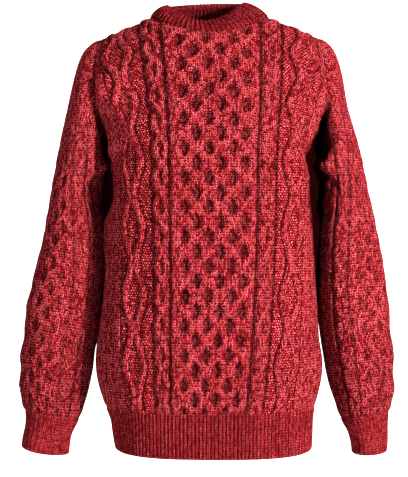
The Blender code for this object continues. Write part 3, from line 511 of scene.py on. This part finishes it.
def body_row(side, q, v):
    """Points of one row of a panel, at the places q."""
    level, angles, along, places = row_layout(side, v)
    marks = np.array([-SIDE_SEAM, -DIAMOND_EDGE, -GROUND_EDGE, GROUND_EDGE, DIAMOND_EDGE, SIDE_SEAM])
    angle = np.interp(np.interp(q, marks, places), along, angles)
    return torso(side, angle, level)


def strip_shares(side, v):
    """How much of a side strip's cut width one row keeps, on the left and on the right."""
    places = row_layout(side, v)[3]
    return np.array([places[1] - places[0], places[5] - places[4]]) / (SIDE_SEAM - DIAMOND_EDGE)


def neck_line(side, q):
    """Height v of the neck seam, or of the shoulder seam beside it."""
    inside = np.clip(1 - (q / NECK_CORNER) ** 2, 0, 1)
    return TOP[side] - NECK_DROP[side] * np.sqrt(inside)


# The sleeves.

def armhole(arm, side):
    """One side of the armhole seam from under the arm: shares of its length, and points."""
    levels = CHEST * (1 - np.sin(np.linspace(0, math.pi / 2, 2 * STEPS)))
    points = torso(side, arm * edge_angle(levels), levels)
    along = lengths(points)
    return along / along[-1], points


ARMHOLE = {(arm, side): armhole(arm, side) for arm in (LEFT, RIGHT) for side in (FRONT, BACK)}


def armhole_point(arm, turn):
    side, share = (FRONT, 2 * turn) if turn <= 0.5 else (BACK, 2 - 2 * turn)
    shares, points = ARMHOLE[arm, side]
    return np.array([np.interp(share, shares, points[:, i]) for i in range(3)])


def tube(arm, turn, level):
    """Ring points of the sleeve: turn 0 faces the body, 0.25 the front and 0.5 outwards."""
    ring = SLEEVE_AT[arm]

    def at(name, where):
        return smooth(where, ring["level"], ring[name])

    def middle(where):
        return (at("inner", where) + at("outer", where)) / 2, (at("front", where) + at("back", where)) / 2

    centre_x, centre_y = middle(level)
    step = 0.02
    above_x, above_y = middle(level + step)
    below_x, below_y = middle(level - step)
    lean_x = (above_x - below_x) / (2 * step)
    lean_y = (above_y - below_y) / (2 * step)
    across = -squared(np.cos(2 * math.pi * turn), SLEEVE_ROUNDNESS) * (at("outer", level) - centre_x)
    ahead = -squared(np.sin(2 * math.pi * turn), SLEEVE_ROUNDNESS) * (at("back", level) - centre_y)
    return np.stack([arm * (centre_x + across), centre_y + ahead,
                     level - lean_x * across - lean_y * ahead], axis=-1)


def head(arm, turn):
    """One line of the sleeve's head, from its top ring to the armhole."""
    start = tube(arm, turn, SLEEVE_HEAD)
    seam = armhole_point(arm, turn)
    corner = seam + (start - seam) * (*HEAD_REACH[arm], 0)
    corner[2] -= HEAD_SLOPE * abs(corner[0] - seam[0])
    weight = HEAD_WEIGHT[0] + HEAD_WEIGHT[1] * math.sin(math.pi * turn) ** 2
    t = np.linspace(0, 1, STEPS)[:, None]
    share = np.concatenate([(1 - t) ** 2, 2 * weight * t * (1 - t), t ** 2], axis=1)
    return share / share.sum(axis=1, keepdims=True) @ np.array([start, corner, seam])


# The knitting: height of the outer side above the plain ground, in metres.

def dome(distance):
    return np.sqrt(np.clip(1 - distance ** 2, 0, 1))


def ridge(distance, place, width):
    return np.exp(-((distance - place) / width) ** 2)


def honeycomb(across, up, columns):
    """Ropes that bow apart round staggered pits; across counts columns from the middle."""
    place = across + columns / 2 - 1
    height = np.zeros_like(place)
    for rope in range(-1, columns):
        wave = np.cos(math.pi * up)
        bow = HONEY_BOW * np.sign(wave) * np.abs(wave) ** HONEY_ROUND * (1 if rope % 2 else -1)
        height = np.maximum(height, dome((place - rope - 0.5 - bow) / HONEY_ROPE) ** HONEY_SLOPE)
    inset, half_width, top = HONEY_BORDER
    border = dome((np.abs(across) - columns / 2 + inset) / half_width) * top
    return np.maximum(height * (np.abs(across) < columns / 2), border)


def chain(across, up, reach):
    """Two ropes that cross over and under in turn, with a round link between."""
    sway = reach * np.sin(math.pi * up)
    over = CHAIN_OVER * np.cos(math.pi * up)
    return np.maximum(dome((across - sway) / ROPE_HALF) * (CHAIN_HEIGHT + over),
                      dome((across + sway) / ROPE_HALF) * (CHAIN_HEIGHT - over))


def diamond_reach(v):
    """Distance of the travelling ropes from the middle of their column."""
    phase = ease(np.abs(((v - DIAMOND_FIRST) / DIAMOND_PERIOD) % 1.0 - 0.5) * 2)
    return DIAMOND_NEAR + (DIAMOND_FAR - DIAMOND_NEAR) * phase


def strips(across, width):
    """Broad plain columns with a groove on each side."""
    place = (across / width) % 1.0 * 2 - 1
    return 1 - np.abs(place) ** STRIP_SQUARE


def groove_shadows(grooves, across):
    """Light that is left in the narrow grooves along the columns, where shadow is painted."""
    share = np.ones_like(across)
    for place, half_width, left, right in grooves:
        share *= 1 - np.where(across < 0, left, right) * ridge(np.abs(across), place, half_width)
    return share


def body_relief(q, v):
    """Heights, how light each place is painted against its hollows as painted shade, and where the ground
    is moss stitch.
    """
    across = np.abs(q)
    up = v / HONEY_STEP - 1
    ropes = honeycomb(q / HONEY_COLUMN, up, HONEY_COLUMNS)
    cable = chain(across - CABLE_MIDDLE, up / 2, CABLE_HALF - ROPE_HALF)
    core = dome((across - CABLE_MIDDLE) / CABLE_HALF)
    ropes = np.maximum(ropes, CABLE_MIX[0] * cable + CABLE_MIX[1] * core)
    past = np.abs(across - DIAMOND_MIDDLE) - diamond_reach(v)
    travelling = dome(past / DIAMOND_ROPE)
    towards_middle = (across < DIAMOND_MIDDLE) & (q > 0)
    outside = np.where(towards_middle, BESIDE_RIGHT, BESIDE_OUT)
    beside = ridge(np.abs(past), BESIDE_PLACE, BESIDE_WIDTH) * np.where(past > 0, outside, BESIDE_IN)
    edge = (ease((across - CABLE_MIDDLE - CABLE_HALF) / GROUND_SOFT)
            * ease((DIAMOND_EDGE - across) / GROUND_SOFT))
    moss = edge * (1 - ease(travelling * MOSS_END))
    ground = MOSS_HEIGHT * edge * (1 - BESIDE_SUNK * beside)
    # Painted shade in the honeycomb's pits and in the hollows between the ropes.
    light = PIT_LIGHT + (1 - PIT_LIGHT) * np.maximum(ropes, edge)
    # Painted shadow in the groove beside each travelling rope.
    light = light * (1 - beside * edge)
    travelling = ground * MOSS_UNDER + DIAMOND_HEIGHT * travelling * edge
    ropes = np.maximum(ropes, np.maximum(ground, travelling))
    columns = strips(across - DIAMOND_EDGE, SIDE_STRIP)
    ropes = np.where(across > DIAMOND_EDGE, columns * STRIP_HEIGHT / ROPE_HEIGHT, ropes)
    # Painted shade in the grooves between the side columns.
    light = np.where(across > DIAMOND_EDGE, PIT_LIGHT + (1 - PIT_LIGHT) * columns, light)
    return ROPE_HEIGHT * ropes, light * groove_shadows(GROOVE_SHADOWS, q), moss


def sleeve_relief(q, w):
    """The same for a sleeve, w up the knitting from the cuff's seam."""
    across = np.abs(q)
    up = w / SLEEVE_HONEY_STEP
    ropes = honeycomb(q / SLEEVE_HONEY_COLUMN, up, SLEEVE_HONEY_COLUMNS)
    cable = chain(across - SLEEVE_CABLE_MIDDLE, up / 2, CABLE_HALF - ROPE_HALF)
    core = dome((across - SLEEVE_CABLE_MIDDLE) / CABLE_HALF)
    ropes = np.maximum(ropes, SLEEVE_CABLE_MIX[0] * cable + SLEEVE_CABLE_MIX[1] * core)
    columns = strips(across - SLEEVE_EDGE, SLEEVE_STRIP)
    # Painted shade in the sleeve's pits and between its columns.
    filled = np.where(across > SLEEVE_EDGE, columns, np.minimum(1, SLEEVE_ROPE_LIGHT * ropes))
    light = SLEEVE_PIT_LIGHT + (1 - SLEEVE_PIT_LIGHT) * filled
    ropes = np.where(across > SLEEVE_EDGE, columns * STRIP_HEIGHT / ROPE_HEIGHT, SLEEVE_HEIGHT * ropes)
    plain = ease((w - HEAD_START - HEAD_PLAIN[0]) / (HEAD_PLAIN[1] - HEAD_PLAIN[0]))
    ropes = ropes + (HEAD_PLAIN_HEIGHT * SLEEVE_HEIGHT - ropes) * plain
    light = light * groove_shadows(SLEEVE_GROOVE_SHADOWS, q)
    # The painted shade fades out up the sleeve's head.
    light = light + (1 - light) * plain
    # Painted shade: darker towards the cuff.
    light = light * (SLEEVE_FOOT_LIGHT[0] + SLEEVE_FOOT_LIGHT[1] * ease(w / SLEEVE_FOOT))
    return ROPE_HEIGHT * ropes, light, 0 * across


def window(at, marks):
    """Rises from the first mark to the second, and falls from the third to the fourth."""
    low, full, end, gone = marks
    return ease((at - low) / (full - low)) * (1 - ease((at - end) / (gone - end)))


def shade(table, along, away, right, soft=SHADE_SOFT):
    """How deep a place lies in the crease's painted shade, from 0 to 1."""
    reach = np.where(right, smooth(along, table["v"], table["right"]),
                     smooth(along, table["v"], table["left"]))
    return ease((reach - away) / soft + 0.5)


def folds_at(table, a, b):
    """Height of a table's soft folds at the places a, b."""
    height = np.zeros(np.broadcast(a, b).shape)
    for at_a, at_b, lean, half_length, half_width, rise in table:
        turn = math.radians(lean)
        along = (a - at_a) * math.cos(turn) + (b - at_b) * math.sin(turn)
        across = (b - at_b) * math.cos(turn) - (a - at_a) * math.sin(turn)
        height += rise * np.exp(-(along / half_length) ** 2 - (across / half_width) ** 2)
    return height


def seam_fade(distance):
    """Relief sinks towards the ground next to a seam."""
    return SEAM_LEAST + (1 - SEAM_LEAST) * ease(distance / FADE)


# Meshes.

def grid_normals(ground, outward):
    """Outward unit normals of a grid of points, rows first."""
    normal = np.cross(np.gradient(ground, axis=1), np.gradient(ground, axis=0))
    return unit(normal) * outward


def grid_faces(rows, columns, keep, outward):
    """Quads of a grid whose cells are kept, facing out."""
    index = np.arange(rows * columns).reshape(rows, columns)
    quads = np.stack([index[:-1, :-1], index[:-1, 1:], index[1:, 1:], index[1:, :-1]], axis=-1)[keep]
    return quads if outward > 0 else quads[:, ::-1]


def make_piece(name, points, faces, knit, light, moss, material, nodes):
    """A piece of cloth with its knitting's own coordinates, standing for its solids."""
    used = np.unique(faces)
    renumber = np.zeros(len(points), dtype=int)
    renumber[used] = np.arange(len(used))
    faces = renumber[faces]
    points, knit, light, moss = points[used], knit[used], light[used], moss[used]
    mesh = bpy.data.meshes.new(name)
    mesh.from_pydata(points.tolist(), [], faces.tolist())
    mesh.materials.append(material)
    layer = mesh.uv_layers.new(name="knit")
    corners = np.empty(len(mesh.loops), dtype=np.int64)
    mesh.loops.foreach_get("vertex_index", corners)
    layer.uv.foreach_set("vector", knit[corners].astype(np.float32).ravel())
    # The light attribute holds each place's painted shade and painted light.
    for label, values in (("light", light), ("moss", moss)):
        mesh.attributes.new(label, "FLOAT", "POINT").data.foreach_set("value", values.astype(np.float32))
    mesh.shade_smooth()
    piece = bpy.data.objects.new(name, mesh)
    bpy.context.scene.collection.objects.link(piece)
    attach(piece, "root")
    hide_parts(*nodes)
    return piece


def drawn_in(side, q, v):
    """A panel's points, those past the neck's seam drawn back onto it, and which lie inside."""
    inside = v <= neck_line(side, q) + 1e-9
    past = np.hypot(q / NECK_CORNER, (TOP[side] - v) / NECK_DROP[side])
    pull = np.where(inside, 1.0, 1 / np.maximum(past, 1e-6))
    return q * pull, TOP[side] - (TOP[side] - v) * pull, inside


def panel_ground(side, places, rows, q, v, inside):
    """Points of the plain panel, and its normals."""
    straight = np.stack([body_row(side, places, row) for row in rows])
    ground = straight.copy()
    for i, j in zip(*np.nonzero(~inside)):
        ground[i, j] = body_row(side, q[i, j:j + 1], v[i, j])[0]
    return ground, grid_normals(straight, -side)


def side_places(side, rows, q):
    """Places across the cloth that is left at the side strips, and the distance to their seam."""
    shares = np.stack([strip_shares(side, row) for row in rows])
    share = np.where(q < 0, shares[:, :1], shares[:, 1:])
    outside = np.clip(np.abs(q) - DIAMOND_EDGE, 0, None)
    knitted = np.sign(q) * (np.abs(q) - outside * (1 - share))
    to_side = ((SIDE_SEAM - np.maximum(np.abs(q), DIAMOND_EDGE)) * share
               + np.clip(DIAMOND_EDGE - np.abs(q), 0, None))
    return knitted, to_side


def panel_folds(side, q, v, to_side):
    folds = folds_at(BODY_FOLDS[side], q, v)
    folds -= BODY_CREASE * ridge(to_side, CREASE_PLACE, CREASE_WIDTH) * window(v, BODY_CREASE_ROWS)
    folds += (SIDE_BULGE * ridge(to_side, SIDE_BULGE_PLACE, SIDE_BULGE_WIDTH)
              * window(v, SIDE_BULGE_ROWS))
    return folds


def make_panel(name, side, material):
    length = float(TOP[side])
    rows = np.linspace(0, length, round(length / GRID))
    places = np.linspace(-SIDE_SEAM, SIDE_SEAM, round(2 * SIDE_SEAM / GRID))
    q, v, inside = drawn_in(side, *np.meshgrid(places, rows))
    ground, normal = panel_ground(side, places, rows, q, v, inside)
    knitted, to_side = side_places(side, rows, q)
    to_neck = (np.hypot(q / NECK_CORNER, (TOP[side] - v) / NECK_DROP[side]) - 1) * NECK_CORNER
    to_top = neck_line(side, q) - v
    distance = np.minimum(np.minimum(to_side, v), np.minimum(to_top, to_neck))

    height, light, moss = body_relief(knitted, v)
    shoulder = ease(to_top / SHOULDER_FADE)
    relief = height * seam_fade(distance) * np.where(np.abs(q) > NECK_CORNER, shoulder, 1)
    relief += panel_folds(side, q, v, to_side) * ease(distance / FOLD_FADE)
    relief += (PUFF * ease(1 - to_side / PUFF_REACH) * ease(to_side / PUFF_EDGE)
               * window(v, PUFF_ROWS))
    points = ground + normal * relief[..., None]

    # Painted light beside the left armhole.
    lit = ridge(to_side, SIDE_LIT_PLACE, SIDE_LIT_WIDTH) * window(v, SIDE_LIT_ROWS)
    light = light * (1 + lit * np.where(q < 0, SIDE_LIT, 0))
    # Painted shade in the crease beside the sleeve.
    light = light - (light - SHADE_LIGHT) * shade(BODY_SHADE_AT, v, to_side, q > 0)
    keep = inside[:-1, :-1] | inside[:-1, 1:] | inside[1:, 1:] | inside[1:, :-1]
    faces = grid_faces(*q.shape, keep, -side)
    return make_piece(name, points.reshape(-1, 3), faces, np.stack([knitted, v], axis=-1).reshape(-1, 2),
                      light.ravel(), moss.ravel(), material, [name])


def sleeve_ground(arm, turns):
    """Each point's distance w up the sleeve, the head's length at each turn, and plain points."""
    heads = [head(arm, float(turn)) for turn in turns]
    rises = np.array([lengths(line)[-1] for line in heads])
    low_rows = np.linspace(0, HEAD_START, round(HEAD_START / GRID))
    high_rows = np.linspace(0, 1, round(rises.max() / GRID))[1:]
    w = np.concatenate([np.repeat(low_rows[:, None], len(turns), axis=1),
                        HEAD_START + high_rows[:, None] * rises])
    ground = tube(arm, np.broadcast_to(turns, w.shape), CUFF_SEAM + np.minimum(w, HEAD_START))
    for j, line in enumerate(heads):
        along = lengths(line)
        up = w[len(low_rows):, j] - HEAD_START
        for i in range(3):
            ground[len(low_rows):, j, i] = np.interp(up, along, line[:, i])
    return w, rises, ground


def make_sleeve(name, arm, material):
    turns = np.linspace(0, 1, round(SLEEVE_GIRTH / GRID))
    w, rises, ground = sleeve_ground(arm, turns)
    turn = np.broadcast_to(turns, w.shape)
    q = (turn - np.interp(w, SLEEVE_TURN_ROWS, SLEEVE_TURNS)) * SLEEVE_GIRTH
    to_seam = HEAD_START + rises - w
    distance = np.minimum(w, to_seam)
    from_inner = np.minimum(turn, 1 - turn)
    headed = window(from_inner, HEAD_SHADE_TURNS)

    height, light, moss = sleeve_relief(q, w)
    folds = folds_at(SLEEVE_FOLDS[arm], turn * SLEEVE_GIRTH, w) - SLEEVE_SUNK
    folds -= SLEEVE_CREASE * ridge(to_seam, CREASE_PLACE, CREASE_WIDTH) * headed
    relief = height * seam_fade(distance)
    relief += folds * ease(distance / FOLD_FADE) * ease(from_inner / FOLD_FADE_TURN)
    points = ground + grid_normals(ground, arm) * relief[..., None]

    # Painted shade in the crease beside the body, along the sleeve's inner line and along its armhole.
    inner = (shade(SLEEVE_SHADE_AT, w, from_inner * SLEEVE_GIRTH, arm == RIGHT)
             * ease((SHADE_TOP - w) / SHADE_TOP_SOFT))
    above = shade(SLEEVE_SHADE_AT, w, to_seam, arm == RIGHT, HEAD_SHADE_SOFT) * headed
    light = light - (light - SHADE_LIGHT) * np.maximum(inner, above)
    keep = np.ones((w.shape[0] - 1, w.shape[1] - 1), dtype=bool)
    faces = grid_faces(*w.shape, keep, arm)
    return make_piece(name, points.reshape(-1, 3), faces, np.stack([q, w], axis=-1).reshape(-1, 2),
                      light.ravel(), moss.ravel(), material, [name])


def rib(a, ribs):
    """Rounded columns with narrow grooves between them."""
    return np.abs(np.sin(math.pi * a * ribs)) ** RIB_ROUND


def make_band(name, surface, ribs, thickness, width, length, closed, outward, look, material):
    """Ribbed band with two sides and a rounded free edge.

    surface(a, t) gives the points of its outer side, from the free edge at 0 to the seam at 1,
    and look the share of the ribs' height, and how light they are painted in their grooves and on their
    tops, as painted shade.
    """
    columns = ribs * RIB_CELLS + 1
    rows = max(BAND_ROWS_LEAST, round(length / BAND_CELL))
    a, t = np.meshgrid(np.linspace(0, 1, columns), np.linspace(0, 1, rows) ** BAND_CELL_BEND)
    ground = surface(a, t)
    normal = grid_normals(ground, outward)
    if closed:
        normal[:, 0] = normal[:, -1] = unit(normal[:, 0] + normal[:, -1])
    half = thickness / 2
    round_off = np.sqrt(np.clip(1 - (1 - np.clip(t * length / half, 0, 1)) ** 2, 0, 1))
    share, groove_light, top_light = look
    height = share * RIB_HEIGHT * rib(a, ribs)
    tuck = TUCK * ease((t - TUCK_FROM) / TUCK_SPAN)
    outer = ground + normal * ((half + height) * round_off - half - tuck)[..., None]
    inner = ground - normal * ((half + RIB_INSIDE * height) * round_off + half)[..., None]
    points = np.concatenate([inner[::-1], outer]).reshape(-1, 3)
    knit = np.stack([a * width, t * length], axis=-1)
    knit = np.concatenate([knit[::-1], knit]).reshape(-1, 2)
    raised = np.tile(rib(a, ribs), (2, 1)).ravel()
    # Painted shade in the ribs' grooves.
    light = groove_light + (top_light - groove_light) * raised
    keep = np.ones((2 * rows - 1, columns - 1), dtype=bool)
    faces = grid_faces(2 * rows, columns, keep, outward)
    return make_piece(name, points, faces, knit, light, np.zeros(len(points)), material, [name])


def make_hem(name, side, material):
    """Half of the hem's rib, whose foot is lifted at its ends."""
    height = HEM_SEAM - HEM_FOOT

    def surface(a, t):
        across = 2 * a[0] - 1
        points = np.stack([body_row(side, SIDE_SEAM * across, -height * (1 - row)) for row in t[:, 0]])
        points[..., 2] += (1 - t) * (HEM_LIFT * across ** 4 - HEM_SAG * (1 - across ** 2)
                                     - HEM_TILT * across)
        return points

    return make_band(name, surface, HEM_RIBS, RIB_THICK, HEM_CUT, height, False, -side, HEM_LOOK,
                     material)


def make_cuff(name, arm, material):
    def surface(a, t):
        outward = (1 - np.cos(2 * math.pi * a)) / 2
        return tube(arm, a, CUFF_SEAM - (CUFF_LENGTH - CUFF_LIFT[arm] * outward ** 2) * (1 - t))

    return make_band(name, surface, CUFF_RIBS, RIB_THICK, CUFF_CUT, CUFF_LENGTH, True, arm, CUFF_LOOK,
                     material)


def neck_seam(swing):
    """The neck seam on the panels; swing 0 is the front and half a turn the back."""
    points = []
    for one in swing:
        side = FRONT if math.cos(one) >= 0 else BACK
        q = np.array([NECK_CORNER * math.sin(one)])
        points.append(body_row(side, q, TOP[side] - NECK_DROP[side] * abs(math.cos(one)))[0])
    return np.array(points)


def band_top(swing):
    """The free edge of the neckband, which sits lower in front."""
    ahead = np.cos(swing)
    depth = np.where(ahead >= 0, BAND_TOP[FRONT][0], BAND_TOP[BACK][0])
    height = np.where(ahead >= 0, BAND_TOP[FRONT][1], BAND_TOP[BACK][1])
    x = BAND_SHIFT + BAND_HALF_WIDTH * np.sin(swing)
    height = height + np.where(ahead < 0, BAND_RISE, 0)
    rise = np.abs(ahead) ** np.where(ahead < 0, BAND_BEND, 2)
    z = BAND_SIDE_HEIGHT + (height - BAND_SIDE_HEIGHT) * rise + BAND_TILT * np.sin(swing)
    return np.stack([x, -depth * ahead, z], axis=-1)


def make_neckband(name, material):
    def surface(a, t):
        swing = 2 * math.pi * a[0]
        top = band_top(swing)
        seam = neck_seam(swing)
        around = np.gradient(seam + top, axis=0)
        around[0] = around[-1] = seam[1] + top[1] - seam[-2] - top[-2]
        outward = unit(np.cross(around, top - seam))
        return top + (seam - top) * t[..., None] + outward * (BAND_BULGE * 4 * t * (1 - t))[..., None]

    return make_band(name, surface, BAND_RIBS, BAND_THICK, BAND_CUT, BAND_LENGTH, True, -1, BAND_LOOK,
                     material)


# Materials.

class Graph:
    """Short calls for a material's nodes."""

    def __init__(self, name):
        self.material = bpy.data.materials.new(name)
        self.material.use_nodes = True
        self.tree = self.material.node_tree
        self.shader = self.tree.nodes["Principled BSDF"]

    def node(self, kind, **settings):
        made = self.tree.nodes.new(kind)
        for key, value in settings.items():
            setattr(made, key, value)
        return made

    def set(self, socket, value):
        if isinstance(value, bpy.types.NodeSocket):
            self.tree.links.new(value, socket)
        else:
            socket.default_value = value

    def math(self, operation, *values):
        made = self.node("ShaderNodeMath", operation=operation)
        for socket, value in zip(made.inputs, values):
            self.set(socket, value)
        return made.outputs[0]

    def mix(self, factor, a, b):
        made = self.node("ShaderNodeMix", data_type="FLOAT")
        for index, value in ((0, factor), (2, a), (3, b)):
            self.set(made.inputs[index], value)
        return made.outputs[0]

    def mix_colour(self, factor, a, b):
        made = self.node("ShaderNodeMix", data_type="RGBA")
        for index, value in ((0, factor), (6, a), (7, b)):
            self.set(made.inputs[index], value)
        return made.outputs[2]

    def plus(self, a, b):
        return self.math("ADD", a, b)

    def times(self, a, b):
        return self.math("MULTIPLY", a, b)

    def sine(self, value, turns=0.5):
        return self.math("SINE", self.times(value, 2 * math.pi * turns))

    def attribute(self, name):
        return self.node("ShaderNodeAttribute", attribute_name=name).outputs["Fac"]

    def noise(self, place, scale, detail=2.0):
        made = self.node("ShaderNodeTexNoise")
        self.set(made.inputs["Vector"], place)
        made.inputs["Scale"].default_value = scale
        made.inputs["Detail"].default_value = detail
        return made.outputs["Fac"]

    def ramp(self, value, low, high):
        made = self.node("ShaderNodeMapRange", interpolation_type="SMOOTHSTEP")
        for index, number in enumerate((value, low, high, 0.0, 1.0)):
            self.set(made.inputs[index], number)
        return made.outputs[0]


def stitches(g, u, v, wander):
    """Height of plain knitting's V's, and the column and row of each place."""
    column = g.plus(g.math("DIVIDE", u, STITCH_WIDTH), wander)
    row = g.plus(g.math("DIVIDE", v, STITCH_HEIGHT), wander)
    beside = g.math("ABSOLUTE", g.math("SUBTRACT", g.math("FRACT", column), 0.5))
    lean = g.times(g.math("PINGPONG", column, 0.5), STITCH_LEAN)
    phase = g.math("FRACT", g.math("SUBTRACT", row, lean))
    leg = g.plus(LEG[0], g.times(g.sine(beside, 1), LEG[1]))
    bead = g.plus(BEAD[0], g.times(g.sine(phase), BEAD[1]))
    return g.times(leg, bead), column, row


def seeds(g, u, v, wander):
    """Height of moss stitch's seeds, each row half a seed aside of the next."""
    stray = g.times(wander, SEED_WANDER)
    row = g.plus(g.math("DIVIDE", v, SEED_HEIGHT), stray)
    shift = g.times(g.math("FLOORED_MODULO", g.math("FLOOR", row), 2.0), 0.5)
    column = g.plus(g.plus(g.math("DIVIDE", u, SEED_WIDTH), stray), shift)
    return g.times(g.sine(g.math("FRACT", row)), g.sine(g.math("FRACT", column)))


def stitch_tone(g, column, row):
    """A tone for each leg of each V."""
    cell = g.node("ShaderNodeCombineXYZ")
    g.set(cell.inputs[0], g.math("FLOOR", g.times(column, 2.0)))
    g.set(cell.inputs[1], g.math("FLOOR", row))
    speck = g.node("ShaderNodeTexWhiteNoise", noise_dimensions="2D")
    g.set(speck.inputs["Vector"], cell.outputs[0])
    return speck.outputs["Value"]


def add_bump(g, bumps, place):
    """Stitches and fibres in the surface's normal."""
    fuzz = g.noise(place, FUZZ_SCALE, 3.0)
    bump = g.node("ShaderNodeBump")
    bump.inputs["Strength"].default_value = 1.0
    bump.inputs["Distance"].default_value = BUMP_DEPTH
    g.set(bump.inputs["Height"], g.plus(bumps, g.times(fuzz, FUZZ)))
    g.set(g.shader.inputs["Normal"], bump.outputs[0])


def hollows(g, place, bumps, moss, calm):
    """How light each place is painted between the stitches and between the fibres, as painted shade."""
    plain = g.mix(g.ramp(bumps, *PLAIN_RAMP), PLAIN_LIGHT[0] + CALM_PLAIN * calm, PLAIN_LIGHT[1])
    mossy = g.mix(g.ramp(bumps, *MOSS_RAMP), *MOSS_LIGHT)
    fibre = g.ramp(g.noise(place, FIBRE_SCALE, 1.0), *FIBRE_RAMP)
    low, high = (light + share * calm for light, share in zip(FIBRE_LIGHT, CALM_FIBRE))
    return g.mix(moss, plain, mossy), g.mix(fibre, low, high)


def make_wool(name, gain, calm):
    """Heathered wool: gain is how light it is painted, under 1 a painted shade all over, and calm, from 0
    to 1, how even its tones are.
    """
    g = Graph("look_" + name)
    apart = g.node("ShaderNodeSeparateXYZ")
    g.set(apart.inputs[0], g.node("ShaderNodeUVMap", uv_map="knit").outputs[0])
    u, v = apart.outputs[0], apart.outputs[1]
    place = g.node("ShaderNodeTexCoord").outputs["Object"]
    moss = g.attribute("moss")
    wander = g.times(g.math("SUBTRACT", g.noise(place, WANDER_SCALE), 0.5), WANDER)
    plain, column, row = stitches(g, u, v, wander)
    bumps = g.mix(moss, plain, seeds(g, u, v, wander))
    add_bump(g, bumps, place)

    # Each stitch has a tone of its own, over flecks and broad patches.
    heather = g.noise(place, HEATHER_SCALE, 3.0)
    tone = g.plus(g.times(heather, HEATHER_SHARE), g.times(g.noise(place, PATCH_SCALE), PATCH_SHARE))
    tone = g.plus(tone, g.times(stitch_tone(g, column, row), STITCH_SHARE))
    tone = g.mix(CALM_TONE * calm, tone, 0.5)
    colour = g.mix_colour(g.ramp(tone, *TONE_RAMP), WOOL_MID, WOOL_LIGHT)
    # Painted highlight on the crests of the stitches.
    crest = g.times(g.ramp(bumps, *CREST_RAMP), g.ramp(tone, *CREST_TONE_RAMP))
    colour = g.mix_colour(g.times(crest, 1 - calm), colour, WOOL_PAINTED_HIGHLIGHT)
    fleck = g.ramp(g.noise(place, FLECK_SCALE, 1.0), *FLECK_RAMP)
    colour = g.mix_colour(g.times(fleck, FLECK_SHARE), colour, WOOL_BROWN)

    # Painted shade: the hollows between the stitches, and between the fibres at random, are painted
    # darker.
    between_stitches, between_fibres = hollows(g, place, bumps, moss, calm)
    # Painted shade and painted light go into the colour here, towards a near-black.
    light = g.times(g.times(between_stitches, g.attribute("light")), between_fibres)
    colour = g.mix_colour(g.times(light, gain), WOOL_PAINTED_SHADE, colour)
    g.set(g.shader.inputs["Base Color"], colour)
    g.set(g.shader.inputs["Roughness"], g.mix(heather, *ROUGH))
    g.shader.inputs["Specular IOR Level"].default_value = 0.0
    return g.material


# The studio.

def make_sweep():
    """Pale floor that bends up into a wall."""
    paper = Graph("sweep_paper")
    paper.shader.inputs["Base Color"].default_value = PAPER
    paper.shader.inputs["Roughness"].default_value = 0.9
    bend_y = WALL_PLACE - SWEEP_BEND
    bend_z = FLOOR_HEIGHT + SWEEP_BEND
    run = [(FLOOR_FRONT, FLOOR_HEIGHT), (bend_y, FLOOR_HEIGHT)]
    run += [(bend_y + math.sin(a) * SWEEP_BEND, bend_z - math.cos(a) * SWEEP_BEND)
            for a in np.linspace(0.1, math.pi / 2, 12)]
    run += [(WALL_PLACE, WALL_TOP)]
    points = [(x, y, z) for x in (-SWEEP_HALF, SWEEP_HALF) for y, z in run]
    count = len(run)
    faces = [(i, i + 1, i + 1 + count, i + count) for i in range(count - 1)]
    mesh = bpy.data.meshes.new("sweep")
    mesh.from_pydata(points, [], faces)
    mesh.materials.append(paper.material)
    mesh.shade_smooth()
    sweep = bpy.data.objects.new("sweep", mesh)
    bpy.context.scene.collection.objects.link(sweep)


def add_lamp(name, place, target, size, power):
    light = bpy.data.lights.new(name, "AREA")
    light.size = size
    light.energy = power
    lamp = bpy.data.objects.new(name, light)
    bpy.context.scene.collection.objects.link(lamp)
    lamp.location = place
    way = Vector([end - start for start, end in zip(place, target)])
    lamp.rotation_euler = way.to_track_quat("-Z", "Y").to_euler()


def add_camera():
    camera = bpy.data.cameras.new("camera")
    camera.sensor_fit = "VERTICAL"
    camera.sensor_height = SENSOR_HEIGHT
    camera.lens = FOCAL_PIXELS / PHOTO_HEIGHT * SENSOR_HEIGHT
    camera.clip_end = 30.0
    eye = bpy.data.objects.new("camera", camera)
    bpy.context.scene.collection.objects.link(eye)
    eye.location = CAMERA_PLACE
    eye.rotation_euler = (math.pi / 2, 0.0, 0.0)
    bpy.context.scene.camera = eye
    bpy.context.scene.view_settings.view_transform = "Standard"


def make_studio():
    """Floor and wall, lamps and camera."""
    make_sweep()
    world = bpy.data.worlds.new("studio")
    world.use_nodes = True
    background = world.node_tree.nodes["Background"]
    background.inputs[0].default_value = WHITE
    background.inputs[1].default_value = WORLD_LIGHT
    bpy.context.scene.world = world
    for name, lamp in LAMPS.items():
        add_lamp(name, *lamp)
    add_camera()


def main():
    knit = make_wool("knit_wool", gain=1.0, calm=0.0)
    ribbed = make_wool("rib_wool", gain=RIB_GAIN, calm=RIB_CALM)
    make_panel("front_panel", FRONT, knit)
    make_panel("back_panel", BACK, knit)
    make_sleeve("sleeve_left", LEFT, knit)
    make_sleeve("sleeve_right", RIGHT, knit)
    make_neckband("neckband", ribbed)
    make_hem("hem_rib_front", FRONT, ribbed)
    make_hem("hem_rib_back", BACK, ribbed)
    make_cuff("cuff_left", LEFT, ribbed)
    make_cuff("cuff_right", RIGHT, ribbed)
    make_studio()


main()
